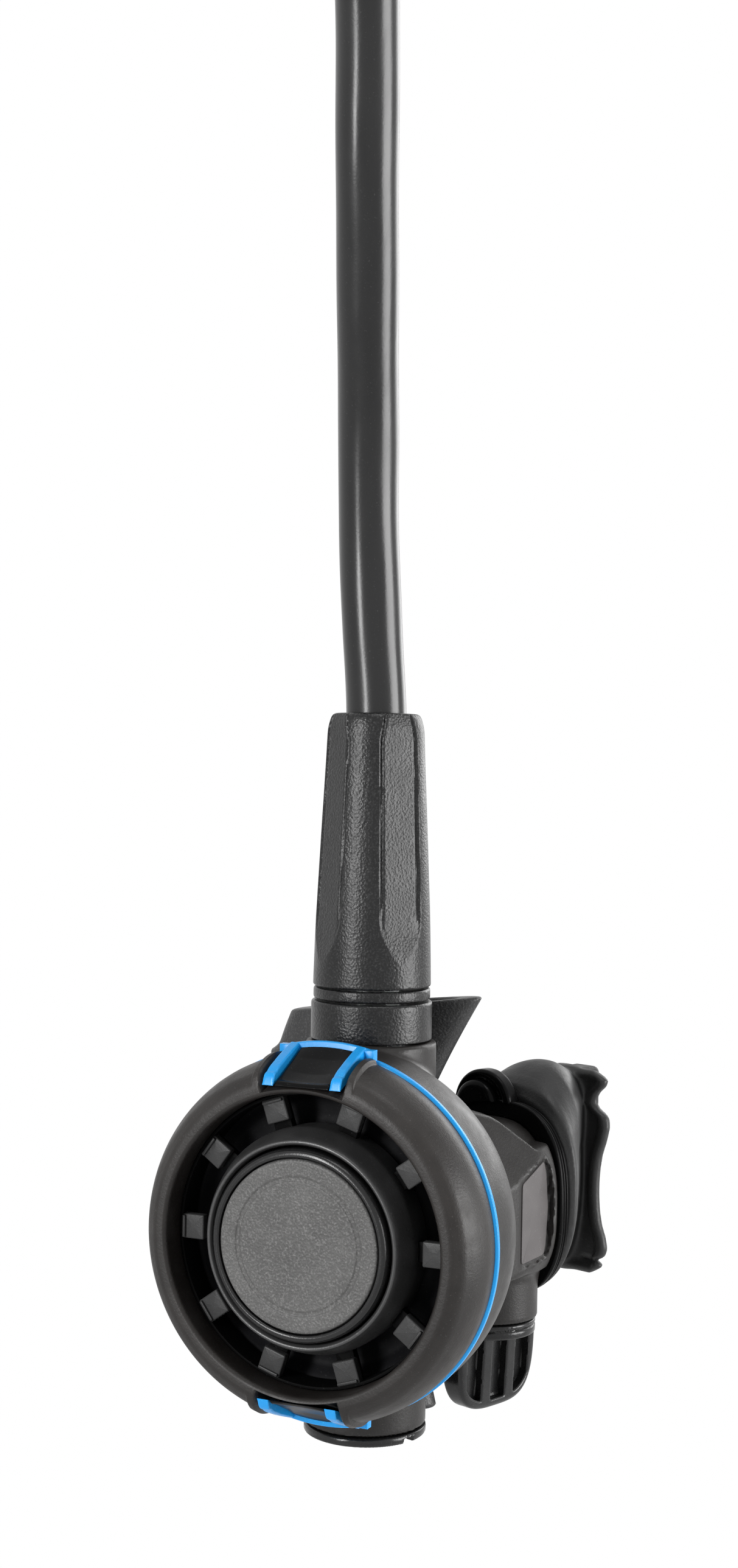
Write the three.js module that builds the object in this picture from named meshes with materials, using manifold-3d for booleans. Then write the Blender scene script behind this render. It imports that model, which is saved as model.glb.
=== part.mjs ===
// Second stage of a scuba regulator, hanging from its low-pressure hose.
// Millimetres, +Z up. The origin is on the hose fitting's axis, at the shoulder that seats on a first stage.
// Inside the assembly, heights are counted from the centre of the front cover, whose face looks along -Y.
import * as THREE from 'three';
import { mergeVertices } from 'three/addons/utils/BufferGeometryUtils.js';
import Module from 'manifold-3d';

const wasm = await Module();
wasm.setup();

// ------------------------------------------------------------------ driving dimensions

const gap = 0.3; // running clearance between pieces that touch
const sideGap = 0.4; // looser clearance for sliding and soft pieces

// hose and its first-stage end
const hoseRadius = 6;
const hoseBore = 3.2;
const hoseFootRise = 3.3; // from the nut's top to the hose's foot
const hoseCourse = [ // places that the hose passes, with their heights above its foot
  [0, 0, 0],
  [0, 0, 19.7],
  [0, 0, 39.1],
  [-0.8, -0.7, 54.7],
  [-1.3, -2, 71.7],
  [0.2, -6.5, 94.7],
  [2.9, -13.6, 115.7],
  [5.8, -21.4, 139.7],
  [8.9, -29.4, 168.2],
  [10.2, -33.4, 179.7],
  [10.7, -35.1, 188.7],
  [10.7, -35.2, 197.7],
  [10.7, -35.2, 212.7],
  [10.7, -35.2, 227.7],
];
const ferruleWall = 1.6;
const ferruleLength = 21;
const barbLength = 17;
const barbBore = 1.7;
const portThreadRadius = 4.7;
const portThreadLength = 10;
const fittingHexRadius = 9.2;
const fittingHexHeight = 9.5;
const fittingCollar = 3;
const portSealSection = 0.9;
const portSealRecess = 0.6;
const sleeveWall = 1.5;
const shortSleeveLength = 33;

// valve tube, from the hose nut down to the end cap
const barrelRadius = 8.4;
const barrelBore = 6.2;
const barrelInletBore = 4.2;
const inletThreadRadius = 7;
const inletThreadLength = 10.6;
const collarRadius = 11.95;
const collarHeight = 7.6;
const collarLip = 1.2;
const bandRadius = 11.55;
const bandHeight = 2.3;
const bossRadius = 12.9;
const bossSink = 0.3; // how far the boss's top stays below the cover's edge
const nutHexRadius = 9.8;
const nutHeight = 11.6;
const nutLip = 3.4;
const swivelNeck = 4.6;
const protectorFootRadius = 11.65;
const protectorNeckRadius = 9.6;
const protectorLength = 53.6;
const fluteCount = 4;
const fluteTurn = -35; // degrees, direction of the first flute
const tubeRadius = 12;
const tubeFoot = -40.7;
const capThickness = 1.7;
const capPlug = 3.1;
const coinSlotWidth = 2.4;
const coinSlotDepth = 1;

// valve works
const orificeFoot = 22;
const orificeBore = 2;
const orificeNose = 2.9;
const poppetRod = 1.9;
const poppetHead = 5.5;
const poppetTravel = 2;
const padThickness = 1.4;
const padRadius = 3.6;
const springWire = 0.9;
const poppetSpringRadius = 3.9;
const poppetSpringTurns = 6;
const adjusterHeight = 6.5;
const adjusterTop = -27;
const pinRadius = 0.8;
const pinDepth = 3.2;
const pinHeight = 10;
const leverHalfWidth = 3.6;
const leverThickness = 1.2;
const forkHalfWidth = 2.35;
const leverFootHeight = -1.5;

// front cover
const coverRadius = 34.9;
const coverFront = -31.6;
const faceBand = 6.9; // width of the cover's face round its opening
const seamY = -19.5;
const seamHalf = 0.4;
const bezelDepth = 1.2;
const latchHalf = 8;
const latchBarWidth = 2.4;
const latchSinkFront = 6;
const latchSinkRear = 1.6;
const grilleFlangeWidth = 3;
const grilleBand = 1.4;
const toothCount = 10;
const toothWidth = 4.8;
const toothFront = -26.2;
const toothDepth = 3.2;
const hubRadius = 21.2;
const hubLipRadius = 19.6;
const hubLipFront = -31;
const buttonRadius = 18;
const buttonFront = -31.9;
const buttonRim = 1.6;
const buttonWall = 1.4;
const buttonTravel = 4;
const facePlateThickness = 1;
const stemRadius = 3;
const springSeatDepth = 1.4;
const purgeSpringRadius = 7;
const purgeSpringTurns = 3;

// diaphragm
const discRadius = 11.8;
const discThickness = 1.2;
const diaphragmThickness = 0.8;

// rear case and its duct
const rimStep = 0.4; // how far the case's rim stays inside the cover's edge
const caseWall = 3.2;
const caseBack = 11.5;
const ductYaw = THREE.MathUtils.degToRad(20); // the mouthpiece points a little towards +X
const ductRoot = 14; // where the duct's axis crosses the case's middle plane
const ductLength = 31.5;
const ductHalfWidth = 17.2;
const ductHalfHeight = 18.8;
const ductDrop = -3.4;
const socketLength = 9.5;
const socketHalfWidth = 13.6;
const socketHalfHeight = 16.4;
const socketWall = 1.9;
const clampLength = 3.2;
const clampRise = 3.6;
const earRadius = 7;
const earOffset = -6;
const biteLength = 3;

// flow knob under the duct
const knobBack = 6.6; // from the duct's end back to the knob's axis
const knobAside = 4;
const knobBossRadius = 10.2;
const knobBossFoot = -26.7;
const knobRadius = 9.8;
const knobFlange = 3;
const gripHalfThickness = 3.6;
const gripDrop = 18;
const gripSlotWidth = 3.6;
const gripSlotDepth = 2;
const shaftRadius = 4.2;
const shaftHeight = 14;
const vaneRadius = 6;
const vaneHeight = 9;
const vaneThickness = 1.4;

// exhaust side
const portY = 22;
const portBossRadius = 11.2;
const portRadius = 9;
const portFace = -22.6;
const valveFlapRadius = 10.2;
const valveFlapThickness = 0.9;
const valveLift = 1.2;
const hornWall = 1.5;
const hornY = 19.6;
const hornHalfDepth = 6;
const chamberY = 23.2;
const chamberHalfDepth = 12.4;
const chamberHalfWidth = 7;
const chamberX = -29.8;

// derived sizes of the cover, the case and the duct
const openingRadius = coverRadius - faceBand;
const bezelInner = coverRadius - bezelDepth;
const latchFloorFront = coverRadius - latchSinkFront;
const latchFloorRear = coverRadius - latchSinkRear;
const grilleFlange = openingRadius + grilleFlangeWidth;
const caseRim = coverRadius - rimStep;
const knobAlong = ductLength - knobBack;
const bossTop = coverRadius - bossSink;

// derived heights along the valve tube
const collarFoot = bossTop + gap;
const collarTop = collarFoot + collarHeight;
const shoulderTop = collarTop - collarLip - gap;
const threadTop = shoulderTop + inletThreadLength;
const bandFoot = collarTop + gap;
const bandTop = bandFoot + bandHeight;
const nutFoot = bandTop + gap;
const nutTop = nutFoot + nutHeight;
const swivelSeat = nutTop - nutLip - gap;
const hoseFoot = nutTop + hoseFootRise;
const hoseRoute = hoseCourse.map(([x, y, rise]) => [x, y, hoseFoot + rise]);
const hoseHead = hoseRoute[hoseRoute.length - 1];
const ferruleRadius = hoseRadius + gap + ferruleWall;
const seat = new THREE.Vector3(hoseHead[0], hoseHead[1], hoseHead[2] + gap + fittingCollar + fittingHexHeight);
const barrelFoot = tubeFoot - gap + capPlug + gap;

// derived depths of the cover
const coverRear = seamY - seamHalf - gap;
const rimFace = seamY + seamHalf + gap;
const discFront = seamY - discThickness / 2;
const buttonFloor = buttonFront + facePlateThickness + 0.2;
const buttonBack = buttonFloor + buttonWall;
const springSeatFront = buttonBack + buttonTravel + 3;
const stemEnd = discFront - gap;

// ------------------------------------------------------------------ finishes

const finish = (color, roughness, metalness = 0) => new THREE.MeshStandardMaterial({ color, roughness, metalness });
const blackRubber = finish(0x17181a, 0.55);
const blackPlastic = finish(0x1b1c1e, 0.5);
const glossBlack = finish(0x0c0d0f, 0.25);
const softTouch = finish(0x3a3634, 0.7);
const silicone = finish(0x33363a, 0.6);
const clearSilicone = finish(0x8d9196, 0.45);
const blue = finish(0x1f8fe0, 0.4);
const brass = finish(0xc9ccd0, 0.3, 1);
const steel = finish(0xb4b8bd, 0.35, 1);
const greyLabel = finish(0x8b8a8c, 0.5);

// ------------------------------------------------------------------ solids

const wide = 32;
const middle = 24;
const small = 16;

function volumeOf(geometry) {
  const [p, index] = [geometry.attributes.position, geometry.index];
  const [a, b, c] = [new THREE.Vector3(), new THREE.Vector3(), new THREE.Vector3()];
  let sum = 0;
  for (let i = 0; i < index.count; i += 3) {
    a.fromBufferAttribute(p, index.getX(i));
    b.fromBufferAttribute(p, index.getX(i + 1));
    c.fromBufferAttribute(p, index.getX(i + 2));
    sum += a.dot(b.cross(c)) / 6;
  }
  return sum;
}

// A copy with shared corners, no collapsed faces, and faces that point outward.
function closed(geometry) {
  const bare = geometry.clone();
  bare.deleteAttribute('normal');
  bare.deleteAttribute('uv');
  const merged = mergeVertices(bare, 1e-4);
  const index = merged.index.array;
  const kept = [];
  for (let i = 0; i < index.length; i += 3) {
    const corner = [index[i], index[i + 1], index[i + 2]];
    if (new Set(corner).size === 3) kept.push(...corner);
  }
  merged.setIndex(kept);
  if (volumeOf(merged) < 0) merged.setIndex(kept.reverse());
  return merged;
}

function solid(geometry) {
  const part = closed(geometry);
  const vertProperties = new Float32Array(part.attributes.position.array);
  const triVerts = new Uint32Array(part.index.array);
  return new wasm.Manifold(new wasm.Mesh({ numProp: 3, vertProperties, triVerts }));
}

function surface(manifold) {
  const mesh = manifold.getMesh();
  const geometry = new THREE.BufferGeometry();
  geometry.setAttribute('position', new THREE.BufferAttribute(mesh.vertProperties, 3));
  geometry.setIndex(new THREE.BufferAttribute(mesh.triVerts, 1));
  return geometry;
}

const join = (first, ...rest) => surface(rest.reduce((sum, part) => sum.add(solid(part)), solid(first)));
const cut = (first, ...rest) => surface(rest.reduce((sum, part) => sum.subtract(solid(part)), solid(first)));
const overlap = (first, second) => surface(solid(first).intersect(solid(second)));

// A solid of revolution from [radius, height] corners. It closes on itself unless both ends are on the axis.
function turned(profile, segments, axis = 'z') {
  const corners = profile.map(([radius, height]) => new THREE.Vector2(radius, height));
  const onAxis = corners[0].x === 0 && corners[corners.length - 1].x === 0;
  if (!onAxis) corners.push(corners[0].clone());
  const geometry = new THREE.LatheGeometry(corners, segments);
  if (axis === 'z') geometry.rotateX(Math.PI / 2);
  if (axis === 'x') geometry.rotateZ(-Math.PI / 2);
  return closed(geometry);
}

function ring(outer, inner, low, high, segments, axis = 'z') {
  return turned([[inner, low], [outer, low], [outer, high], [inner, high]], segments, axis);
}

function disc(radius, low, high, segments, axis = 'z') {
  return turned([[0, low], [radius, low], [radius, high], [0, high]], segments, axis);
}

function block(x, y, z) {
  const box = new THREE.BoxGeometry(x[1] - x[0], y[1] - y[0], z[1] - z[0]);
  return box.translate((x[0] + x[1]) / 2, (y[0] + y[1]) / 2, (z[0] + z[1]) / 2);
}

function hexagon(radius, low, high) {
  const prism = new THREE.CylinderGeometry(radius, radius, high - low, 6);
  return prism.rotateX(Math.PI / 2).translate(0, 0, (low + high) / 2);
}

function seal(radius, section, height) {
  return closed(new THREE.TorusGeometry(radius, section, 6, 16).translate(0, 0, height));
}

// A closed skin through rings of equal count, with both ends capped.
function loft(rings) {
  const count = rings[0].length;
  const points = rings.flat();
  const index = [];
  for (let r = 0; r + 1 < rings.length; r += 1) {
    for (let i = 0; i < count; i += 1) {
      const [a, b] = [r * count + i, r * count + ((i + 1) % count)];
      index.push(a, b, b + count, a, b + count, a + count);
    }
  }
  const last = (rings.length - 1) * count;
  const middleOf = (ringPoints) => ringPoints.reduce((sum, p) => sum.add(p), new THREE.Vector3()).divideScalar(count);
  points.push(middleOf(rings[0]), middleOf(rings[rings.length - 1]));
  for (let i = 0; i < count; i += 1) {
    const next = (i + 1) % count;
    index.push(points.length - 2, next, i);
    index.push(points.length - 1, last + i, last + next);
  }
  const geometry = new THREE.BufferGeometry().setFromPoints(points);
  geometry.setIndex(index);
  return closed(geometry);
}

// Rounded-square outline, as [across, up] pairs.
function oval(halfWidth, halfHeight, power = 2.6, count = 16) {
  const bend = (value) => Math.sign(value) * Math.abs(value) ** (2 / power);
  return Array.from({ length: count }, (_, i) => {
    const turn = (2 * Math.PI * i) / count;
    return [halfWidth * bend(Math.cos(turn)), halfHeight * bend(Math.sin(turn))];
  });
}

// A place given along the duct, across it towards +X, and by height.
function ductPoint(along, across, height) {
  const x = along * Math.sin(ductYaw) + across * Math.cos(ductYaw);
  const y = ductRoot + along * Math.cos(ductYaw) - across * Math.sin(ductYaw);
  return new THREE.Vector3(x, y, height);
}

// Sections are { at, width, height, aside, rise }: half sizes and the centre's offset.
function ductLoft(sections, power) {
  return loft(
    sections.map(({ at, width, height, aside = 0, rise = ductDrop }) =>
      oval(width, height, power).map(([across, up]) => ductPoint(at, aside + across, rise + up)),
    ),
  );
}

// One unbroken coil tube about Z, five-sided, with eight steps a turn; prints its least gap to itself.
function coil(name, radius, wire, turns, low, high) {
  const sides = 5;
  const steps = turns * 8;
  const rings = Array.from({ length: steps + 1 }, (_, i) => {
    const turn = (i / 8) * 2 * Math.PI;
    const height = low + wire / 2 + ((high - low - wire) * i) / steps;
    return Array.from({ length: sides }, (_unused, k) => {
      const around = (2 * Math.PI * k) / sides;
      const reach = radius + (wire / 2) * Math.cos(around);
      return new THREE.Vector3(reach * Math.cos(turn), reach * Math.sin(turn), height + (wire / 2) * Math.sin(around));
    });
  });
  const pitch = (high - low - wire) / turns;
  console.log(`${name}: least gap between turns ${(pitch - wire).toFixed(2)} mm`);
  return loft(rings);
}

// ------------------------------------------------------------------ the assembly

const assembly = new THREE.Group();
assembly.position.copy(seat).negate();

function add(name, geometry, material, place = new THREE.Vector3()) {
  const mesh = new THREE.Mesh(geometry, material);
  mesh.name = name;
  mesh.position.copy(place);
  assembly.add(mesh);
}

// ------------------------------------------------------------------ hose

function circle(radius, sides, Kind, sense = 1) {
  return new Kind(Array.from({ length: sides }, (_, i) => {
    const turn = (2 * Math.PI * i) / sides;
    return new THREE.Vector2(radius * Math.cos(turn), sense * radius * Math.sin(turn));
  }));
}

function hose() {
  const section = circle(hoseRadius, 12, THREE.Shape);
  section.holes.push(circle(hoseBore, 8, THREE.Path, -1));
  const extrudePath = new THREE.CatmullRomCurve3(hoseRoute.map((point) => new THREE.Vector3(...point)), false);
  return closed(new THREE.ExtrudeGeometry(section, { steps: 16, extrudePath }));
}

// Barbed insert of the second-stage end: nose and seal below the flange, barb inside the hose.
function swivelInsert() {
  const barb = hoseBore * Math.cos(Math.PI / 8) - gap / 2;
  return turned([
    [barbBore, swivelSeat - 7],
    [barrelInletBore - gap * 2, swivelSeat - 7],
    [barrelInletBore - gap * 2, swivelSeat - 5],
    [barrelInletBore - 1.6, swivelSeat - 5],
    [barrelInletBore - 1.6, swivelSeat - 3.4],
    [barrelInletBore - gap * 2, swivelSeat - 3.4],
    [barrelInletBore - gap * 2, swivelSeat - 1.4],
    [inletThreadRadius - 0.2, swivelSeat - 1.4],
    [inletThreadRadius - 0.2, swivelSeat],
    [swivelNeck, swivelSeat],
    [swivelNeck, nutTop + gap * 2],
    [ferruleRadius - gap, nutTop + gap * 2],
    [ferruleRadius - gap, hoseFoot - gap],
    [barb, hoseFoot - gap],
    [barb, hoseFoot + barbLength],
    [barbBore, hoseFoot + barbLength],
  ], small);
}

function hoseNut() {
  const body = hexagon(nutHexRadius, nutFoot, nutTop);
  const bore = disc(inletThreadRadius + gap, nutFoot - 1, nutTop - nutLip, small);
  return cut(body, bore, disc(swivelNeck + sideGap, nutFoot, nutTop + 1, small));
}

// Moulded sleeve over the hose nut and crimp, with long shallow finger flutes.
function hoseProtector() {
  const foot = nutFoot;
  const head = foot + protectorLength;
  const nutRoom = nutHexRadius + sideGap;
  const crimpRoom = ferruleRadius + gap;
  const body = turned([
    [nutRoom, foot],
    [protectorFootRadius - 0.25, foot],
    [protectorFootRadius, foot + 0.5],
    [protectorFootRadius - 0.05, foot + 12],
    [protectorFootRadius - 0.95, foot + 30],
    [protectorNeckRadius + 0.25, foot + protectorLength * 0.83],
    [protectorNeckRadius, head - 3],
    [protectorNeckRadius - 0.6, head - 1.1],
    [protectorNeckRadius - 1.8, head],
    [hoseRadius + gap, head],
    [hoseRadius + gap, hoseFoot + ferruleLength + 3],
    [crimpRoom, hoseFoot + ferruleLength + 1],
    [crimpRoom, nutTop + 2.6],
    [nutRoom, nutTop + gap],
  ], middle);
  const flutes = Array.from({ length: fluteCount }, (_, i) => {
    const flute = new THREE.CapsuleGeometry(4.2, protectorLength * 0.62, 2, 8);
    flute.scale(1, 1, 0.26).rotateX(Math.PI / 2).rotateZ(Math.PI / 2);
    flute.rotateY(-0.035);
    flute.translate(protectorNeckRadius + 1.1, 0, foot + protectorLength * 0.56);
    return flute.rotateZ(THREE.MathUtils.degToRad(fluteTurn + (360 * i) / fluteCount));
  });
  return cut(body, ...flutes);
}

function firstStageFitting() {
  const shoulder = seat.z;
  const hexFoot = shoulder - fittingHexHeight;
  const body = join(
    hexagon(fittingHexRadius, hexFoot, shoulder),
    disc(ferruleRadius - gap, hexFoot - fittingCollar, hexFoot + 1, small),
    disc(hoseBore * Math.cos(Math.PI / 8) - gap / 2, hoseHead[2] - barbLength, hexFoot, small),
    turned([
      [0, shoulder - 1],
      [portThreadRadius - 0.9, shoulder - 1],
      [portThreadRadius - 0.9, shoulder + 2.4],
      [portThreadRadius, shoulder + 3],
      [portThreadRadius, shoulder + portThreadLength - 0.8],
      [portThreadRadius - 0.8, shoulder + portThreadLength],
      [0, shoulder + portThreadLength],
    ], small),
  );
  return cut(
    body,
    ring(portThreadRadius + gap + portSealSection + gap, portThreadRadius - 0.9, shoulder - portSealRecess, shoulder + 1, small),
    disc(barbBore, hoseHead[2] - barbLength - 1, shoulder + portThreadLength + 1, small),
  );
}

function shortSleeve() {
  const head = hoseHead[2] + gap + fittingCollar - gap;
  const foot = head - shortSleeveLength;
  const outer = ferruleRadius + gap + sleeveWall;
  return turned([
    [hoseRadius + sideGap, foot],
    [outer - 2, foot],
    [outer - 0.5, foot + 1.5],
    [outer, foot + 5],
    [outer, head],
    [ferruleRadius + gap, head],
    [ferruleRadius + gap, hoseHead[2] - ferruleLength - 1],
    [hoseRadius + sideGap, hoseHead[2] - ferruleLength - 3],
  ], middle);
}

function addHose() {
  const top = new THREE.Vector3(hoseHead[0], hoseHead[1], 0);
  const crimp = (low) => ring(ferruleRadius, hoseRadius + gap, low, low + ferruleLength, small);
  add('hose', hose(), blackRubber);
  add('hose_protector', hoseProtector(), blackPlastic);
  add('hose_crimp', crimp(hoseFoot), steel);
  add('hose_insert', swivelInsert(), brass);
  add('hose_insert_seal', seal(barrelInletBore - 0.85, 0.5, swivelSeat - 4.2), blackRubber);
  add('first_stage_fitting', firstStageFitting(), brass, top);
  add('first_stage_seal', seal(portThreadRadius + gap, portSealSection, seat.z - portSealRecess + portSealSection + gap), blackRubber, top);
  add('first_stage_crimp', crimp(hoseHead[2] - ferruleLength), steel, top);
  add('first_stage_sleeve', shortSleeve(), blackPlastic, top);
}

// ------------------------------------------------------------------ valve

function barrel() {
  const body = turned([
    [barrelBore, barrelFoot],
    [barrelRadius, barrelFoot],
    [barrelRadius, shoulderTop],
    [inletThreadRadius, shoulderTop],
    [inletThreadRadius, threadTop],
    [barrelInletBore, threadTop],
    [barrelInletBore, shoulderTop - 1],
    [barrelBore, shoulderTop - 2.5],
  ], middle);
  const slot = block([-leverHalfWidth - gap, leverHalfWidth + gap], [-barrelRadius - 1, -2.4], [-6, pinHeight + 3.4]);
  const pinHole = disc(pinRadius + gap, -barrelRadius - 1, barrelRadius + 1, small, 'x');
  return cut(body, slot, pinHole.translate(0, pinDepth, pinHeight));
}

function collar() {
  return turned([
    [barrelRadius + gap, collarFoot],
    [collarRadius, collarFoot],
    [collarRadius, collarTop - 0.4],
    [collarRadius - 0.4, collarTop],
    [inletThreadRadius + gap, collarTop],
    [inletThreadRadius + gap, shoulderTop + gap],
    [barrelRadius + gap, shoulderTop + gap],
  ], middle);
}

function orifice() {
  const outer = barrelBore - gap;
  const head = shoulderTop - 2.5 - gap;
  const sealAt = head - 5;
  return turned([
    [orificeBore, orificeFoot],
    [orificeNose, orificeFoot],
    [orificeNose, orificeFoot + 2],
    [outer, orificeFoot + 2],
    [outer, sealAt - 1],
    [outer - 1.6, sealAt - 1],
    [outer - 1.6, sealAt + 1],
    [outer, sealAt + 1],
    [outer, head],
    [orificeBore, head],
  ], small);
}

function poppet() {
  const head = orificeFoot - gap - padThickness - gap;
  return turned([
    [0, adjusterTop + gap + poppetTravel + 2],
    [poppetRod, adjusterTop + gap + poppetTravel + 2],
    [poppetRod, -6],
    [poppetSpringRadius + springWire / 2, -6],
    [poppetSpringRadius + springWire / 2, -4.6],
    [poppetRod, -4.6],
    [poppetRod, head - 4.6],
    [poppetHead, head - 4.6],
    [poppetHead, head],
    [0, head],
  ], small);
}

function lever() {
  const tipFront = discFront + discThickness + gap;
  const outline = new THREE.Shape([
    new THREE.Vector2(pinDepth + 1.4, pinHeight - leverThickness),
    new THREE.Vector2(pinDepth + 1.4, pinHeight + leverThickness),
    new THREE.Vector2(pinDepth, pinHeight + leverThickness + 0.6),
    new THREE.Vector2(pinDepth - 1, pinHeight + leverThickness / 2),
    new THREE.Vector2(-barrelRadius - 3, pinHeight + leverThickness / 2),
    new THREE.Vector2(tipFront, leverFootHeight + 1),
    new THREE.Vector2(tipFront, leverFootHeight - 2.4),
    new THREE.Vector2(tipFront + leverThickness, leverFootHeight - 2.4),
    new THREE.Vector2(tipFront + leverThickness, leverFootHeight + 0.4),
    new THREE.Vector2(-barrelRadius - 2.3, pinHeight - leverThickness / 2),
    new THREE.Vector2(pinDepth - 1, pinHeight - leverThickness / 2),
    new THREE.Vector2(pinDepth, pinHeight - leverThickness - 0.6),
  ]);
  // The outline is drawn as (depth, height); these turns lay it in the plane of Y and Z, spread along X.
  const plate = new THREE.ExtrudeGeometry(outline, { depth: 2 * leverHalfWidth, bevelEnabled: false });
  plate.rotateX(Math.PI / 2).rotateZ(Math.PI / 2).translate(-leverHalfWidth, 0, 0);
  const fork = block([-forkHalfWidth, forkHalfWidth], [-barrelBore - 0.6, pinDepth + 3], [pinHeight - 4, pinHeight + 4]);
  const pinHole = disc(pinRadius + gap, -leverHalfWidth - 1, leverHalfWidth + 1, small, 'x');
  return cut(plate, fork, pinHole.translate(0, pinDepth, pinHeight));
}

function endCap() {
  const top = tubeFoot - gap;
  const body = turned([
    [0, top - capThickness],
    [tubeRadius - 0.7, top - capThickness],
    [tubeRadius + 0.1, top - capThickness + 0.7],
    [tubeRadius + 0.1, top],
    [barrelRadius, top],
    [barrelRadius, top + capPlug - gap],
    [0, top + capPlug - gap],
  ], middle);
  const slot = block(
    [-tubeRadius - 1, tubeRadius + 1],
    [-coinSlotWidth / 2, coinSlotWidth / 2],
    [top - capThickness - 1, top - capThickness + coinSlotDepth],
  );
  return cut(body, slot.rotateZ(-0.35));
}

function addValve() {
  const headSeal = shoulderTop - 2.5 - gap - 5;
  const lockNut = cut(
    hexagon(3.3, pinHeight - leverThickness / 2 - gap - 2.4, pinHeight - leverThickness / 2 - gap),
    disc(poppetRod + gap, 0, 20, small),
  );
  const adjuster = cut(
    disc(barrelBore - gap, adjusterTop - adjusterHeight, adjusterTop, small),
    disc(poppetRod + gap, adjusterTop - 3, adjusterTop + 1, small),
    block([-barrelBore, barrelBore], [-0.7, 0.7], [adjusterTop - adjusterHeight - 1, adjusterTop - adjusterHeight + 1.5]),
  );
  const pin = disc(pinRadius, -barrelRadius + 1, barrelRadius - 1, 12, 'x').translate(0, pinDepth, pinHeight);
  add('hose_nut', hoseNut(), brass);
  add('swivel_band', ring(bandRadius, inletThreadRadius + gap, bandFoot, bandTop, middle), blackPlastic);
  add('inlet_collar', collar(), blackPlastic);
  add('valve_barrel', barrel(), brass);
  add('valve_orifice', orifice(), steel);
  add('orifice_seal', seal(barrelBore - gap - 0.65, 0.65, headSeal), blackRubber);
  add('poppet', poppet(), blackPlastic);
  add('poppet_pad', disc(padRadius, orificeFoot - gap - padThickness, orificeFoot - gap, small), blackRubber);
  add('poppet_lock_nut', lockNut, brass);
  const springHead = -6 - gap;
  const springTop = springHead - (adjusterTop + gap);
  const spring = coil('poppet_spring', poppetSpringRadius, springWire, poppetSpringTurns, 0, springTop);
  add('poppet_spring', spring.translate(0, 0, adjusterTop + gap), steel);
  add('spring_adjuster', adjuster, brass);
  add('demand_lever', lever(), steel);
  add('lever_pin', pin, steel);
  add('end_cap', endCap(), blackPlastic);
}

// ------------------------------------------------------------------ front cover

// The recess for the latch panels follows the cover round, between a front and a rear radius.
function latchSector(lift, halfFrom, halfTo, bulge) {
  const front = coverFront + 0.3;
  const rear = coverRear - 0.1;
  const profile = turned([
    [latchFloorFront + gap, front],
    [latchFloorFront + lift, front - 0.2],
    [latchFloorFront + lift + 1.1, front + 2.6],
    [(latchFloorFront + latchFloorRear) / 2 + lift + bulge, (front + rear) / 2],
    [latchFloorRear + lift, rear - 1.2],
    [latchFloorRear + lift + 0.3, rear],
    [latchFloorRear + gap, rear],
  ], wide, 'y');
  return overlap(profile, block([halfFrom, halfTo], [coverFront - 2, seamY], [0, coverRadius + 5]));
}

function frontCover() {
  const body = turned([
    [openingRadius, coverRear - 1.2],
    [grilleFlange + gap, coverRear - 1.2],
    [grilleFlange + gap, coverRear],
    [coverRadius - 0.1, coverRear],
    [coverRadius, coverRear - 2],
    [coverRadius, coverRear - 3.6],
    [coverRadius - 0.7, coverRear - 6.8],
    [coverRadius - 2.3, coverFront + 1.5],
    [coverRadius - 3.7, coverFront + 0.3],
    [openingRadius + 1.6, coverFront - 0.1],
    [openingRadius + 0.5, coverFront + 0.2],
    [openingRadius, coverFront + 0.9],
  ], wide, 'y');
  const recess = turned([
    [latchFloorFront, coverFront - 1],
    [coverRadius + 4, coverFront - 1],
    [coverRadius + 4, coverRear + 1],
    [latchFloorRear, coverRear + 1],
    [latchFloorRear, coverRear],
    [latchFloorFront, coverFront + 0.3],
  ], wide, 'y');
  const window = (sign) => overlap(recess, block(
    [-latchHalf - gap, latchHalf + gap],
    [coverFront - 2, coverRear + 2],
    sign > 0 ? [0, coverRadius + 5] : [-coverRadius - 5, 0],
  ));
  return cut(body, window(1), window(-1));
}

// Coloured ring in the seam, with two bars forward over each latch.
function bezel() {
  const seam = ring(coverRadius + 0.2, bezelInner, seamY - seamHalf, seamY + seamHalf, wide, 'y');
  const bars = [-1, 1].flatMap((side) => {
    const half = side < 0 ? [-latchHalf, -latchHalf + latchBarWidth] : [latchHalf - latchBarWidth, latchHalf];
    const bar = join(
      latchSector(1.9, half[0], half[1], 0.4),
      block(half, [coverRear - 1, seamY], [latchFloorRear + gap, coverRadius - 0.3]),
    );
    return [bar, bar.clone().rotateY(Math.PI)];
  });
  return join(seam, ...bars);
}

function latchPanel(name, turn) {
  const half = latchHalf - latchBarWidth - gap;
  add(name, latchSector(1.5, -half, half, -0.5).rotateY(turn), glossBlack);
}

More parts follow.
